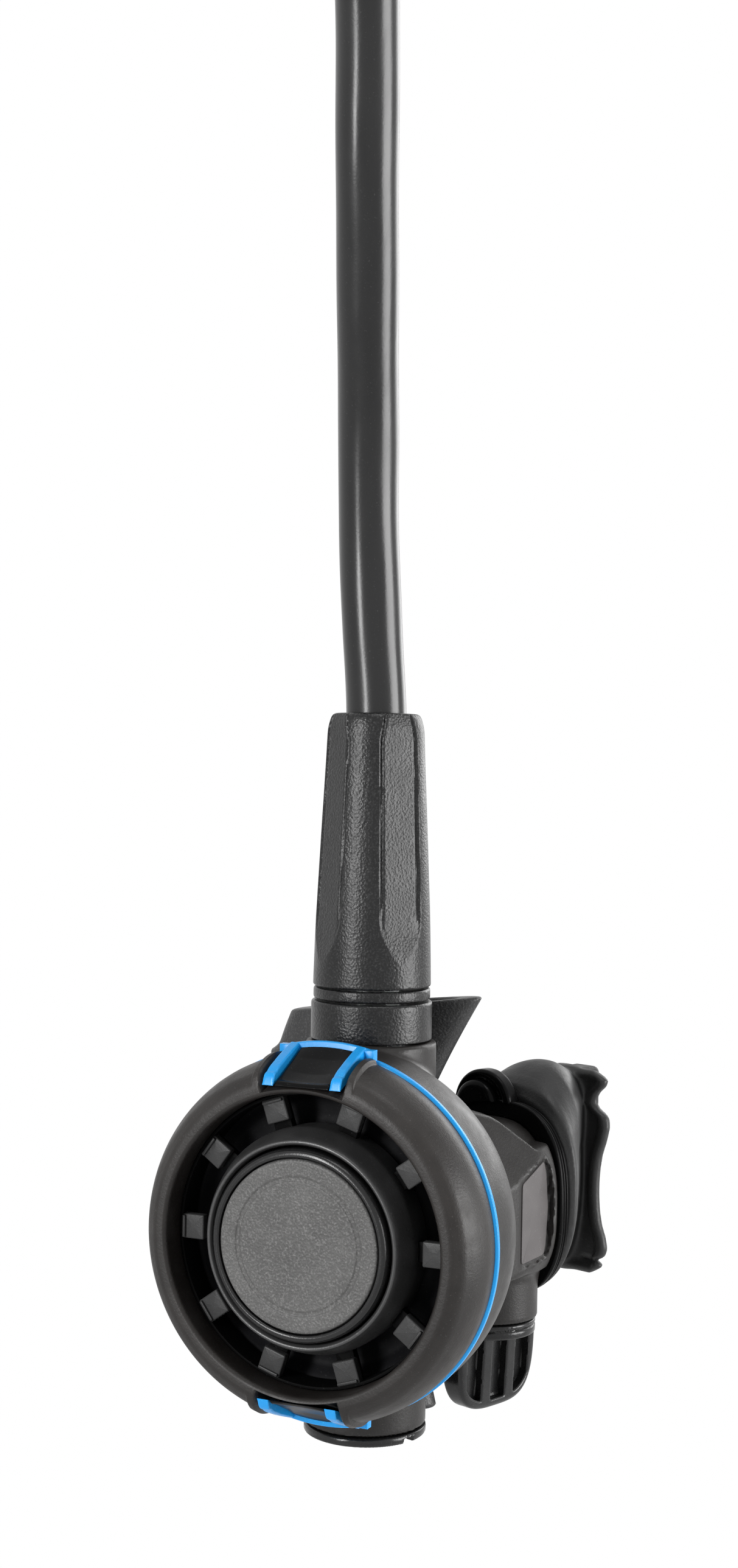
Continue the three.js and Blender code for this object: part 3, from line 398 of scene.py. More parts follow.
def smooth_line(x: Array, at: tuple[float, ...], value: tuple[float, ...]) -> Array:
    """Cubic curve through the given values, with each slope the mean of its two neighbours'.

    Args:
        x: places wanted.
        at: places of the given values, rising.
        value: the given values.

    Returns:
        The values at the places wanted.
    """
    knots, level = np.asarray(at, float), np.asarray(value, float)
    slope = np.gradient(level, knots)
    x = np.clip(x, knots[0], knots[-1])
    i = np.clip(np.searchsorted(knots, x, side="right") - 1, 0, len(knots) - 2)
    span = knots[i + 1] - knots[i]
    t = (x - knots[i]) / span
    a, b = level[i], level[i + 1]
    m, n = slope[i] * span, slope[i + 1] * span
    from_values = a * (2 * t**3 - 3 * t**2 + 1) + m * (t**3 - 2 * t**2 + t)
    return from_values + b * (3 * t**2 - 2 * t**3) + n * (t**3 - t**2)


def step_up(x: Array, start: float, end: float) -> Array:
    """Rises smoothly from 0 at start to 1 at end: 3t^2 - 2t^3.

    Args:
        x: places.
        start: where the rise starts.
        end: where it ends.

    Returns:
        The rise, from 0 to 1.
    """
    t = np.clip((x - start) / (end - start), 0, 1)
    return t * t * (3 - 2 * t)


# ------------------------------------------------------------------ moulded forms, as distance fields


def melt(a: Array, b: Array, fillet: float) -> Array:
    """Joins two forms: the lesser distance, rounded where they meet over the fillet's width.

    Args:
        a: distances to the first form.
        b: distances to the second.
        fillet: width of the rounding.

    Returns:
        The distances to both as one.
    """
    near = np.maximum(fillet - np.abs(a - b), 0) / fillet
    return np.minimum(a, b) - near * near * fillet / 4


def carve(a: Array, b: Array, fillet: float) -> Array:
    """Takes form b out of form a, with the edge rounded over the fillet's width."""
    return -melt(-a, b, fillet)


def overlap(a: Array, b: Array, fillet: float) -> Array:
    """Keeps what two forms share, with the edge rounded over the fillet's width."""
    return -melt(-a, -b, fillet)


def rod(radial: Array, axial: Array, radius: float, low: float, high: float, ease: float) -> Array:
    """Distance to a round bar with eased ends, from the distance to its axis and the place along it.

    Args:
        radial: distances from its axis.
        axial: places along the axis.
        radius: its radius.
        low: where it starts.
        high: where it ends.
        ease: radius of its edges.

    Returns:
        The distances, negative inside.
    """
    q1 = radial - radius + ease
    q2 = np.abs(axial - (low + high) / 2) - (high - low) / 2 + ease
    outside = np.sqrt(np.maximum(q1, 0) ** 2 + np.maximum(q2, 0) ** 2)
    return outside + np.minimum(np.maximum(q1, q2), 0) - ease


def brick(x: Array, y: Array, z: Array, half: Triple, ease: float) -> Array:
    """Distance to a block centred on zero with eased edges.

    Args:
        x: first coordinates.
        y: second coordinates.
        z: third coordinates.
        half: its half sizes.
        ease: radius of its edges.

    Returns:
        The distances, negative inside.
    """
    q = [np.abs(v) - h + ease for v, h in zip((x, y, z), half)]
    outside = np.sqrt(sum(np.maximum(v, 0) ** 2 for v in q))
    return outside + np.minimum(np.maximum(np.maximum(q[0], q[1]), q[2]), 0) - ease


def oval_field(a: Array, b: Array, half_a: Array, half_b: Array, power: float) -> Array:
    """Roughly the distance to a superellipse's edge: (its own norm - 1) times the lesser half size.

    Args:
        a: first coordinates.
        b: second coordinates.
        half_a: half width.
        half_b: half height.
        power: the power of the norm.

    Returns:
        The distances, negative inside.
    """
    norm = (np.abs(a / half_a) ** power + np.abs(b / half_b) ** power) ** (1 / power)
    return (norm - 1) * np.minimum(half_a, half_b)


def skin(field: Field, low: Triple, high: Triple, step: float) -> Shell:
    """The surface where a field is zero.

    Each cell that the surface crosses gets one point, the mean of the crossings on its twelve edges, and each
    crossed grid edge gets a quad between its four cells. The points are then moved along the field's slope,
    by field / slope, until they lie on the surface.

    Args:
        field: takes bench points and returns distances.
        low: least corner of the box searched.
        high: greatest corner.
        step: cell size.

    Returns:
        The surface.
    """
    axes = [np.arange(a, b + step, step, dtype=np.float32) for a, b in zip(low, high)]
    net = np.stack(np.meshgrid(*axes, indexing="ij"), -1)
    value = np.asarray(field(net), np.float32)
    inside = value < 0
    corner = np.array([[i, j, k] for i in (0, 1) for j in (0, 1) for k in (0, 1)])
    size = np.array(value.shape) - 1
    count = np.zeros(size, np.int8)
    for i, j, k in corner:
        count += inside[i : i + size[0], j : j + size[1], k : k + size[2]]
    cells = np.argwhere((count > 0) & (count < 8))
    places = cells[:, None] + corner[None]
    level = value[places[..., 0], places[..., 1], places[..., 2]]
    pair = [(a, b) for a in range(8) for b in range(a + 1, 8) if np.abs(corner[a] - corner[b]).sum() == 1]
    first, second = np.array(pair).T
    la, lb = level[:, first], level[:, second]
    crossed = (la < 0) != (lb < 0)
    t = np.where(crossed, la / np.where(la == lb, 1, la - lb), 0)[..., None]
    at = corner[first][None] * (1 - t) + corner[second][None] * t
    mean = (at * crossed[..., None]).sum(1) / crossed.sum(1)[:, None]
    points = (cells + mean) * step + np.array(low, float)

    number = np.full(size, -1)
    number[tuple(cells.T)] = np.arange(len(cells))
    quads = []
    for axis in range(3):
        others = [k for k in range(3) if k != axis]
        here, there = [slice(1, -1)] * 3, [slice(1, -1)] * 3
        here[axis], there[axis] = slice(0, -1), slice(1, None)
        now, then = inside[tuple(here)], inside[tuple(there)]
        edge = np.argwhere(now != then)
        flip = now[tuple(edge.T)] != (axis == 1)
        base = edge.copy()
        base[:, others] += 1
        around = []
        for u, v in ((-1, -1), (0, -1), (0, 0), (-1, 0)):
            cell = base.copy()
            cell[:, others[0]] += u
            cell[:, others[1]] += v
            around.append(number[tuple(cell.T)])
        quad = np.stack(around, -1)
        quads.append(np.where(flip[:, None], quad, quad[:, ::-1]))
    probe = 0.04
    offsets = np.eye(3) * probe
    for _ in range(4):
        here = field(points)
        slope = np.stack([(field(points + o) - field(points - o)) / (2 * probe) for o in offsets], -1)
        move = here[:, None] * slope / np.maximum((slope**2).sum(1), 0.05)[:, None]
        reach = np.linalg.norm(move, axis=1, keepdims=True)
        points = points - move * np.minimum(1, 0.5 * step / np.maximum(reach, 1e-6))
    return Shell(points, np.concatenate(quads))


# ------------------------------------------------------------------ objects


def make(name: str, shell: Shell, sharp: float = 40.0) -> bpy.types.Object:
    """Makes a mesh object of a shell, in metres, with its doubles merged and its faces pointing out.

    Args:
        name: the piece's name.
        shell: its points and faces.
        sharp: the angle in degrees past which an edge isn't shaded smooth.

    Returns:
        The object.
    """
    mesh = bpy.data.meshes.new(name)
    points, faces = BENCH.world(shell.points), shell.faces
    mesh.vertices.add(len(points))
    mesh.vertices.foreach_set("co", points.astype(np.float32).ravel())
    mesh.loops.add(faces.size)
    mesh.loops.foreach_set("vertex_index", faces.astype(np.int32).ravel())
    mesh.polygons.add(len(faces))
    mesh.polygons.foreach_set("loop_start", np.arange(0, faces.size, 4, dtype=np.int32))
    mesh.update(calc_edges=True)
    work = bmesh.new()
    work.from_mesh(mesh)
    bmesh.ops.remove_doubles(work, verts=work.verts, dist=2e-6)
    bmesh.ops.dissolve_degenerate(work, dist=1e-7, edges=work.edges)
    bmesh.ops.recalc_face_normals(work, faces=work.faces)
    work.to_mesh(mesh)
    work.free()
    mesh.validate()
    mesh.polygons.foreach_set("use_smooth", np.ones(len(mesh.polygons), bool))
    mesh.set_sharp_from_angle(angle=math.radians(sharp))
    piece = bpy.data.objects.new(name, mesh)
    bpy.context.collection.objects.link(piece)
    return piece


# ------------------------------------------------------------------ finishes


class Grain(Enum):
    """How a moulded surface is broken up."""

    SPARK = "spark-eroded mould, coarse"
    SATIN = "fine satin mould"
    SOFT = "soft-touch lacquer"
    RUBBER = "extruded rubber"
    POLISHED = "polished mould"
    METAL = "machined metal"


STRETCH = {Grain.RUBBER: (1, 1, 0.12), Grain.METAL: (1, 1, 14)}
CLOUD_SIZE, DUST_AND_SPARKLE_SIZE, WEAR_SIZE, WAVE_SIZE = 9.0, 0.4, 4.0, 5.0
WAVE_HEIGHT = 0.05
PIT_SPREAD = 1.3
Socket = bpy.types.NodeSocket
Values = dict[str | int, object]
Sockets = dict[str | int, Socket]


@dataclass
class Desk:
    """Adds nodes to one tree and wires them."""

    tree: bpy.types.NodeTree

    def wire(self, node: bpy.types.Node, plain: Values, wired: Sockets) -> None:
        """Sets and links a node's inputs.

        Args:
            node: the node.
            plain: a value for each input that has one.
            wired: the socket that each other input is fed by.
        """
        for name, value in plain.items():
            node.inputs[name].default_value = value
        for name, source in wired.items():
            self.tree.links.new(source, node.inputs[name])

    def add(self, kind: str, plain: Values | None = None, wired: Sockets | None = None,
            **settings: str) -> bpy.types.Node:
        """Adds a node.

        Args:
            kind: its type, less the leading words.
            plain: a value for each input that has one.
            wired: the socket that each other input is fed by.
            settings: the node's own settings, made before its inputs.

        Returns:
            The node.
        """
        node = self.tree.nodes.new(f"ShaderNode{kind}")
        for name, value in settings.items():
            setattr(node, name, value)
        self.wire(node, plain or {}, wired or {})
        return node

    def noise(self, where: Socket, size: float, detail: float) -> Socket:
        """Adds a noise pattern.

        Args:
            where: the coordinates.
            size: about how wide its blobs are, in millimetres.
            detail: how many finer layers it has.

        Returns:
            The pattern.
        """
        plain = {"Scale": 1000.0 / size, "Detail": detail, "Roughness": 0.6}
        return self.add("TexNoise", plain, {"Vector": where}).outputs["Fac"]

    def ramp(self, source: Socket, low: float, high: float) -> Socket:
        """Returns a pattern with its values between low and high stretched to the full range."""
        return self.add("MapRange", {"From Min": low, "From Max": high}, {"Value": source}).outputs["Result"]

    def mix(self, plain: Values, wired: Sockets) -> Socket:
        """Returns a mix of two colours."""
        return self.add("Mix", plain, wired, data_type="RGBA").outputs["Result"]

    def sum(self, operation: str, first: Socket, second: Socket | float) -> Socket:
        """Adds a sum of two inputs.

        Args:
            operation: the kind of sum.
            first: the first input.
            second: the second, a socket or a number.

        Returns:
            The result.
        """
        plain, wired = ({1: second}, {0: first}) if isinstance(second, float) else ({}, {0: first, 1: second})
        return self.add("Math", plain, wired, operation=operation).outputs["Value"]


@dataclass(frozen=True)
class Finish:
    """One surface finish, made with procedural nodes.

    Attributes:
        name: the finish's name.
        color: its base colour, linear.
        shade: a second colour, for mottling and wear; brightened, it also colours the light specks, which are
            dirt specks and, on spark-eroded grain, painted glints.
        rough: the least and the most roughness.
        grain: the kind of texture.
        cell: the grain's size in millimetres.
        depth: the grain's bump height in millimetres.
        metal: metallic share.
        level: specular level.
    """

    name: str
    color: Triple
    shade: Triple
    rough: tuple[float, float]
    grain: Grain
    cell: float
    depth: float
    metal: float = 0.0
    level: float = 0.5

    def build(self) -> bpy.types.Material:
        """Makes the finish's material, once.

        Returns:
            The material.
        """
        found = bpy.data.materials.get(self.name)
        if found:
            return found
        material = bpy.data.materials.new(self.name)
        material.use_nodes = True
        desk = Desk(material.node_tree)
        place = desk.add("TexCoord").outputs["Object"]
        drawn = place
        if self.grain in STRETCH:
            drawn = desk.add("Mapping", {"Scale": STRETCH[self.grain]}, {"Vector": place}).outputs["Vector"]
        sparked = self.grain is Grain.SPARK
        cloud = desk.ramp(desk.noise(drawn, CLOUD_SIZE, 4.0), 0.3, 0.7)
        # Light specks mixed into the base colour: sparse dirt specks, and on spark-eroded grain denser specks
        # that are painted glints standing for the grain's sparkle highlights.
        dust_and_sparkle = desk.ramp(desk.noise(place, DUST_AND_SPARKLE_SIZE, 1.5), *((0.5, 0.74) if sparked else (0.66, 0.76)))
        blend = desk.mix({"A": (*self.color, 1), "B": (*self.shade, 1)}, {"Factor": cloud})
        faint = desk.sum("MULTIPLY", dust_and_sparkle, 0.45 if sparked else 0.4)
        # The specks' colour, lighter than the shade: dirt on most finishes, painted highlight on spark-eroded
        # grain.
        dust_and_glint = (*[min(1.0, c * 2.2 + 0.04) for c in self.shade], 1)
        speckled = desk.mix({"B": dust_and_glint}, {"Factor": faint, "A": blend})
        least, most = self.rough
        wear = desk.ramp(desk.noise(drawn, WEAR_SIZE, 5.0), 0.3, 0.7)
        worn = desk.add("MapRange", {"To Min": least, "To Max": most}, {"Value": wear}).outputs["Result"]
        grain = desk.noise(drawn if self.grain is Grain.METAL else place, self.cell, 2.5)
        if sparked:
            pits = desk.add("TexVoronoi", {"Scale": 1000.0 / (self.cell * PIT_SPREAD)}, {"Vector": place})
            grain = desk.sum("ADD", grain, pits.outputs["Distance"])
        relief = {"Strength": 1.0, "Distance": self.depth * MM}
        normal = desk.add("Bump", relief, {"Height": grain}).outputs["Normal"]
        if self.grain in (Grain.RUBBER, Grain.SOFT):
            waves = {"Height": desk.noise(drawn, WAVE_SIZE, 2.0), "Normal": normal}
            normal = desk.add("Bump", {"Distance": WAVE_HEIGHT * MM}, waves).outputs["Normal"]
        shader = material.node_tree.nodes["Principled BSDF"]
        plain = {"Metallic": self.metal, "Specular IOR Level": self.level}
        desk.wire(shader, plain, {"Base Color": speckled, "Roughness": worn, "Normal": normal})
        return material


SOFT_TOUCH = Finish("soft_touch_lacquer", (0.01, 0.0086, 0.0079), (0.0175, 0.0152, 0.0139),
                    (0.38, 0.52), Grain.SOFT, 0.5, 0.05, level=0.3)
CASE_SATIN = Finish("case_satin", (0.012, 0.011, 0.0104), (0.0165, 0.015, 0.0143),
                    (0.34, 0.48), Grain.SATIN, 0.45, 0.04, level=0.28)
SPARKED = Finish("sparked_black", (0.0045, 0.0045, 0.0047), (0.0085, 0.0085, 0.0087),
                 (0.26, 0.36), Grain.SPARK, 0.4, 0.05, level=0.3)
# A lightened copy of the moulded rubber, for the exhaust horns: painted light for how brightly they catch the
# lamps.
LIT_HORN_RUBBER = Finish("lit_horn_rubber", (0.02, 0.02, 0.0204), (0.03, 0.03, 0.0306),
                     (0.32, 0.44), Grain.SPARK, 0.4, 0.05, level=0.3)
# Nearly without colour or reflection: painted shade, given to the grille's frame, spokes and seat so the gaps
# between the teeth read as deep shade.
PAINTED_SHADE_BLACK = Finish("painted_shade_black", (0.002, 0.002, 0.0021), (0.0032, 0.0032, 0.0033),
                    (0.5, 0.6), Grain.SATIN, 0.45, 0.02, level=0.04)
# A lightened copy of the grille's finish for its hub: painted light, with a glossier surface.
LIT_GUIDE_SATIN = Finish("lit_guide_satin", (0.028, 0.028, 0.0283), (0.038, 0.038, 0.0384),
                     (0.26, 0.38), Grain.SATIN, 0.45, 0.03, level=0.5)
BLACK_SATIN = Finish("black_satin", (0.007, 0.007, 0.0073), (0.0105, 0.0105, 0.0108),
                     (0.18, 0.3), Grain.SATIN, 0.45, 0.02, level=0.34)
# A lightened copy of the grille's finish for its teeth: painted light, so the plates read lit against the
# shaded gaps.
LIT_GRILLE_SATIN = Finish("lit_grille_satin", (0.038, 0.038, 0.0383), (0.048, 0.048, 0.0483),
                      (0.28, 0.4), Grain.SATIN, 0.45, 0.03, level=0.16)
# Far lighter than the cup's plastic: painted light, the face plate lightened to stand for its grain's
# highlights.
LIT_BUTTON_GRAIN = Finish("lit_button_grain", (0.07, 0.069, 0.068), (0.1, 0.099, 0.097),
                      (0.4, 0.52), Grain.SPARK, 0.4, 0.06, level=0.3)
HOSE_RUBBER = Finish("hose_cover_rubber", (0.005, 0.005, 0.0052), (0.009, 0.009, 0.0092),
                     (0.2, 0.3), Grain.RUBBER, 0.5, 0.012, level=0.4)
GLOSS_BLACK = Finish("gloss_black", (0.004, 0.004, 0.0042), (0.006, 0.006, 0.0062),
                     (0.16, 0.28), Grain.POLISHED, 1.2, 0.01, level=0.06)
BLUE = Finish("blue_trim", (0.01, 0.29, 0.72), (0.013, 0.325, 0.78),
              (0.2, 0.32), Grain.SATIN, 0.5, 0.01, level=0.3)
LABEL = Finish("label_satin", (0.085, 0.079, 0.079), (0.11, 0.102, 0.102),
               (0.4, 0.5), Grain.SATIN, 0.4, 0.01, level=0.3)
MOUTH = Finish("bite_silicone", (0.017, 0.017, 0.0172), (0.027, 0.027, 0.0272),
               (0.38, 0.52), Grain.SOFT, 0.6, 0.06, level=0.3)
MEMBRANE = Finish("membrane_silicone", (0.006, 0.006, 0.007), (0.01, 0.01, 0.011),
                  (0.45, 0.6), Grain.SATIN, 0.6, 0.01, level=0.06)
SEAL = Finish("seal_nitrile", (0.008, 0.008, 0.008), (0.012, 0.012, 0.012),
              (0.35, 0.5), Grain.SATIN, 0.4, 0.01)
CHROME = Finish("satin_chrome", (0.62, 0.63, 0.65), (0.7, 0.71, 0.72),
                (0.12, 0.24), Grain.METAL, 0.25, 0.003, metal=1.0)
STEEL = Finish("drawn_steel", (0.5, 0.5, 0.51), (0.58, 0.58, 0.58),
               (0.22, 0.36), Grain.METAL, 0.3, 0.004, metal=1.0)


@dataclass(frozen=True)
class Fit:
    """Hands finished pieces to the frame.

    Attributes:
        slot: the material slot of the record; not used.
        finish: the finish of the pieces.
        node: the solid that they stand for.
        body: the body that they ride on.
    """

    slot: str
    finish: Finish
    node: str
    body: str = "second_stage"

    def give(self, name: str, shell: Shell, sharp: float = 40.0) -> bpy.types.Object:
        """Makes a piece of a shell, and rides it on this fit's body in this fit's finish.

        Args:
            name: the piece's name.
            shell: its points and faces.
            sharp: the angle in degrees past which an edge is sharp.

        Returns:
            The piece.
        """
        piece = make(name, shell, sharp)
        piece.data.materials.append(self.finish.build())
        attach(piece, self.body)
        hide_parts(self.node)
        LOG.info("%s: %d faces on %s", name, len(piece.data.polygons), self.body)
        return piece


# ------------------------------------------------------------------ shared sizes of the second stage


@dataclass(frozen=True)
class Plan:
    """Sizes in millimetres that several sub-assemblies share.

    Attributes:
        seam: depth of the coloured seam's middle.
        boss_top: height of the inlet boss.
        hose_foot: height where the hose starts.
        knob_along: place of the knob's axis along the duct.
        knob_aside: place of the knob's axis across the duct.
        duct_drop: height of the duct's end over the cover's middle.
        port_depth: depth of the exhaust port's axis.
    """

    seam: float = -19.5
    boss_top: float = 34.6
    hose_foot: float = 60.3
    knob_along: float = 24.9
    knob_aside: float = 4.0
    duct_drop: float = -3.4
    port_depth: float = 22.0

    def from_knob(self, s: Array, w: Array) -> Array:
        """Returns distances from the knob's axis, of places along and across the duct."""
        return np.hypot(s - self.knob_along, w - self.knob_aside)


PLAN = Plan()


# ------------------------------------------------------------------ hose and its ends


@dataclass(frozen=True)
class HoseAssembly:
    """The low-pressure hose with its bend protector and its first-stage end.

    Attributes:
        radius: hose radius.
        sides: points round the hose.
        protector_top: height of the protector's top.
        flute_depth: depth of the protector's four flats.
        thread_pitch: pitch of the first-stage thread, 24 to the inch.
    """

    radius: float = 6.0
    sides: int = 64
    protector_top: float = 99.0
    flute_depth: float = 1.05
    thread_pitch: float = 1.058

    def course(self) -> Array:
        """The places that the hose's middle passes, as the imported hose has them.

        Returns:
            The places.
        """
        rises = (0, 19.7, 39.1, 54.7, 71.7, 94.7, 115.7, 139.7, 168.2, 179.7, 188.7, 197.7, 212.7, 227.7)
        x = (0, 0, 0, -0.8, -1.3, 0.2, 2.9, 5.8, 8.9, 10.2, 10.7, 10.7, 10.7, 10.7)
        y = (0, 0, 0, -0.7, -2, -6.5, -13.6, -21.4, -29.4, -33.4, -35.1, -35.2, -35.2, -35.2)
        return np.stack([x, y, np.array(rises) + PLAN.hose_foot], -1).astype(float)

    def end(self) -> Array:
        """Returns x and y of the hose's far end."""
        return self.course()[-1, :2]

    def line(self, count: int) -> Array:
        """Samples a smooth line through the course.

        Args:
            count: number of points.

        Returns:
            The points, spread evenly along the course.
        """
        course = self.course()
        at = np.concatenate([[0], np.cumsum(np.linalg.norm(np.diff(course, axis=0), axis=1))])
        t = np.linspace(0, at[-1], count)
        return np.stack([smooth_line(t, tuple(at), tuple(course[:, k])) for k in range(3)], -1)

    def hose(self) -> Shell:
        """A round tube: a circle in the plane across the line, its radius varied a little as rubber's does.

        Returns:
            The tube, closed at both ends.
        """
        line = self.line(260)
        along = np.gradient(line, axis=0)
        along /= np.linalg.norm(along, axis=1, keepdims=True)
        side = np.cross(along, np.array([0.0, 1.0, 0.0]))
        side /= np.linalg.norm(side, axis=1, keepdims=True)
        other = np.cross(along, side)
        turn = round_angles(self.sides)
        rise = np.arange(len(line))[:, None]
        wave = 0.035 * np.sin(rise * 0.19 + 2 * turn) + 0.03 * np.sin(rise * 0.071 - turn * 3)
        radius = self.radius + wave - 0.06
        points = line[:, None] + radius[..., None] * (
            np.cos(turn)[None, :, None] * side[:, None] + np.sin(turn)[None, :, None] * other[:, None]
        )
        return capped(points)

    def protector(self) -> Shell:
        """A tapering sleeve with four flats: inside its taper, radius = h / cos(angle off the flat).

        Returns:
            The sleeve, hollow for the nut and the hose.
        """
        top = self.protector_top
        heights, radii = (45.4, 58, 77, 90, 96.2), (11.67, 11.35, 10.46, 9.8, 9.55)
        corners = [(10.4, heights[0]), *zip(radii, heights), (8.7, top), (6.35, top), (6.35, 66), (10.4, 58)]

        def flats(angle: Array, radius: Array, height: Array) -> Array:
            """Cuts the four flats into the outside.

            Args:
                angle: angle about the hose.
                radius: radius before the cut.
                height: height on the sleeve.

            Returns:
                The new radius.
            """
            depth = self.flute_depth * step_up(height, 49.5, 58.5) * (1 - 0.35 * step_up(height, 93, top))
            off = np.remainder(angle - math.radians(-35) + math.pi / 4, math.pi / 2) - math.pi / 4
            taper = np.interp(height, (*heights, top), (*radii, 8.9))
            edge = np.arccos(np.clip((taper - depth) / taper, -1, 1))
            groove = 0.42 * np.exp(-(((np.abs(off) - edge + 0.05) / 0.028) ** 2)) * step_up(height, 55, 62)
            flat = (taper - depth) / np.cos(off) - groove
            outside = radius > taper - 1.6
            return np.where(outside & (depth > 0.01), np.minimum(radius, flat), radius)

        return lathed(corners, (0.3, 0.5, 4, 6, 4, 1.4, 1.2, 0.5, 1, 1), 0.45, "Z", 300, 6, change=flats)

    def sleeve(self) -> Shell:
        """Returns the short rubber sleeve over the first-stage crimp, carried round the hose's end."""
        corners = [(6.3, 258), (7.7, 258), (9.2, 259.5), (9.7, 263), (9.7, 291), (8.3, 291), (8.3, 264),
                   (6.3, 262)]
        return lathed(corners, (0.2, 0.6, 1.2, 1.5, 0.6, 0.3, 0.5, 0.5), 0.8, "Z", 96).moved(*self.end())

    def fitting(self) -> Shell:
        """The plated fitting: collar, hexagon and threaded shank.

        The hexagon's radius is apothem / cos(angle off its flat), never more than its chamfer cone, and the
        thread is a triangle wave of height less angle.

        Returns:
            The fitting with its bore.
        """
        hex_low, hex_high = 291.3, 300.8
        corners = [(1.7, 280), (1.7, 310.8), (4.0, 310.8), (4.7, 310.0), (4.7, 303.8), (3.8, 303.2),
                   (3.8, 300.2), (6.2, 300.2), (6.2, hex_high), (9.2, hex_high), (9.2, hex_low), (7.6, hex_low),
                   (7.6, 288.4), (3.0, 288.4), (3.0, 280)]

        def facets(angle: Array, radius: Array, height: Array) -> Array:
            """Cuts the hexagon and the thread.

            Args:
                angle: angle about the fitting.
                radius: radius before the cut.
                height: height on the fitting.

            Returns:
                The new radius.
            """
            off = np.remainder(angle, math.pi / 3) - math.pi / 6
            chamfer = 8.15 + 1.7 * np.minimum(np.abs(height - hex_high), np.abs(height - hex_low))
            flat = np.minimum(7.97 / np.cos(off), chamfer)
            nut = (height > hex_low - 0.1) & (height < hex_high + 0.1) & (radius > 6.5)
            hexed = np.where(nut, np.minimum(radius, flat), radius)
            turn = np.remainder(height / self.thread_pitch - angle / (2 * math.pi), 1)
            groove = 0.55 * np.clip(1.15 - np.abs(turn - 0.5) * 2.6, 0, 1)
            cut = (height > 304.2) & (height < 310.4) & (radius > 4.2)
            return np.where(cut, hexed - groove, hexed)

        return lathed(corners, 0.12, 0.14, "Z", 132, 4, change=facets).moved(*self.end())

    def build(self) -> None:
        line = self.line(28)
        hose = Fit("hose_rubber", HOSE_RUBBER, "hose", "hose").give("hose_line", self.hose())
        moulded = Fit("moulded_rubber", SPARKED, "hose_protector", "hose")
        moulded = moulded.give("hose_bend_protector", self.protector())
        sleeve = Fit("moulded_rubber", SPARKED, "first_stage_sleeve", "hose")
        sleeve = sleeve.give("hose_end_sleeve", self.sleeve())
        fitting = Fit("chromed_brass", CHROME, "first_stage_fitting", "hose")
        fitting = fitting.give("hose_end_fitting", self.fitting())
        ring = ring_seal(5.0, 0.88, 301.4).moved(*self.end())
        seal = Fit("seal_rubber", SEAL, "first_stage_seal", "hose").give("hose_end_seal", ring)
        world = BENCH.world(line)
        length = float(np.linalg.norm(np.diff(BENCH.world(self.line(260)), axis=0), axis=1).sum())


# ------------------------------------------------------------------ valve tube's outside


@dataclass(frozen=True)
class ValveTube:
    """The collar, the swivel band and the end cap that show on the valve tube.

    Attributes:
        collar_radius: radius of the inlet collar.
        band_radius: radius of the swivel band.
        cap_radius: radius of the end cap.
        slot_turn: turn of the cap's coin slot.
    """

    collar_radius: float = 11.97
    band_radius: float = 11.55
    cap_radius: float = 12.1
    slot_turn: float = -0.35

    def collar(self) -> Shell:
        """Returns the collar with its lip: a profile carried round the tube's axis."""
        r = self.collar_radius
        corners = [(8.8, 34.9), (r, 34.9), (r, 42.5), (7.3, 42.5), (7.3, 41.3), (8.8, 41.3)]
        return lathed(corners, (0.2, 0.35, 0.7, 0.3, 0.2, 0.2), 0.8, "Z", 180)

    def band(self) -> Shell:
        """Returns the thin band between the collar and the protector, with a rounded edge."""
        corners = [(7.3, 42.8), (self.band_radius, 42.8), (self.band_radius, 45.1), (7.3, 45.1)]
        return lathed(corners, (0.2, 0.6, 0.6, 0.2), 0.6, "Z", 180)

    def cap(self) -> Shell:
        """The end cap: a disc and its plug, with a coin slot cut across the disc.

        Returns:
            The cap's skin.
        """
        turn = self.slot_turn

        def field(p: Array) -> Array:
            """Distance to the cap: a low disc joined to a plug, less a slot.

            Args:
                p: bench points.

            Returns:
                The distances.
            """
            radial = np.hypot(p[..., 0], p[..., 1])
            body = np.minimum(rod(radial, p[..., 2], self.cap_radius, -42.7, -41.0, 0.5),
                              rod(radial, p[..., 2], 7.9, -41.5, -38.0, 0.3))
            across = -p[..., 0] * math.sin(turn) + p[..., 1] * math.cos(turn)
            slot = brick(across, np.zeros_like(across), p[..., 2] + 42.9, (1.25, 9.0, 1.2), 0.2)
            return carve(body, slot, 0.25)

        return skin(field, (-12.6, -12.6, -43.2), (12.6, 12.6, -37.5), 0.36)

    def build(self) -> None:
        """Makes the three pieces."""
        Fit("black_plastic", SPARKED, "inlet_collar").give("tube_collar", self.collar())
        Fit("black_plastic", SPARKED, "swivel_band").give("tube_band", self.band())
        Fit("black_plastic", BLACK_SATIN, "end_cap").give("tube_end_cap", self.cap())


# ------------------------------------------------------------------ front cover


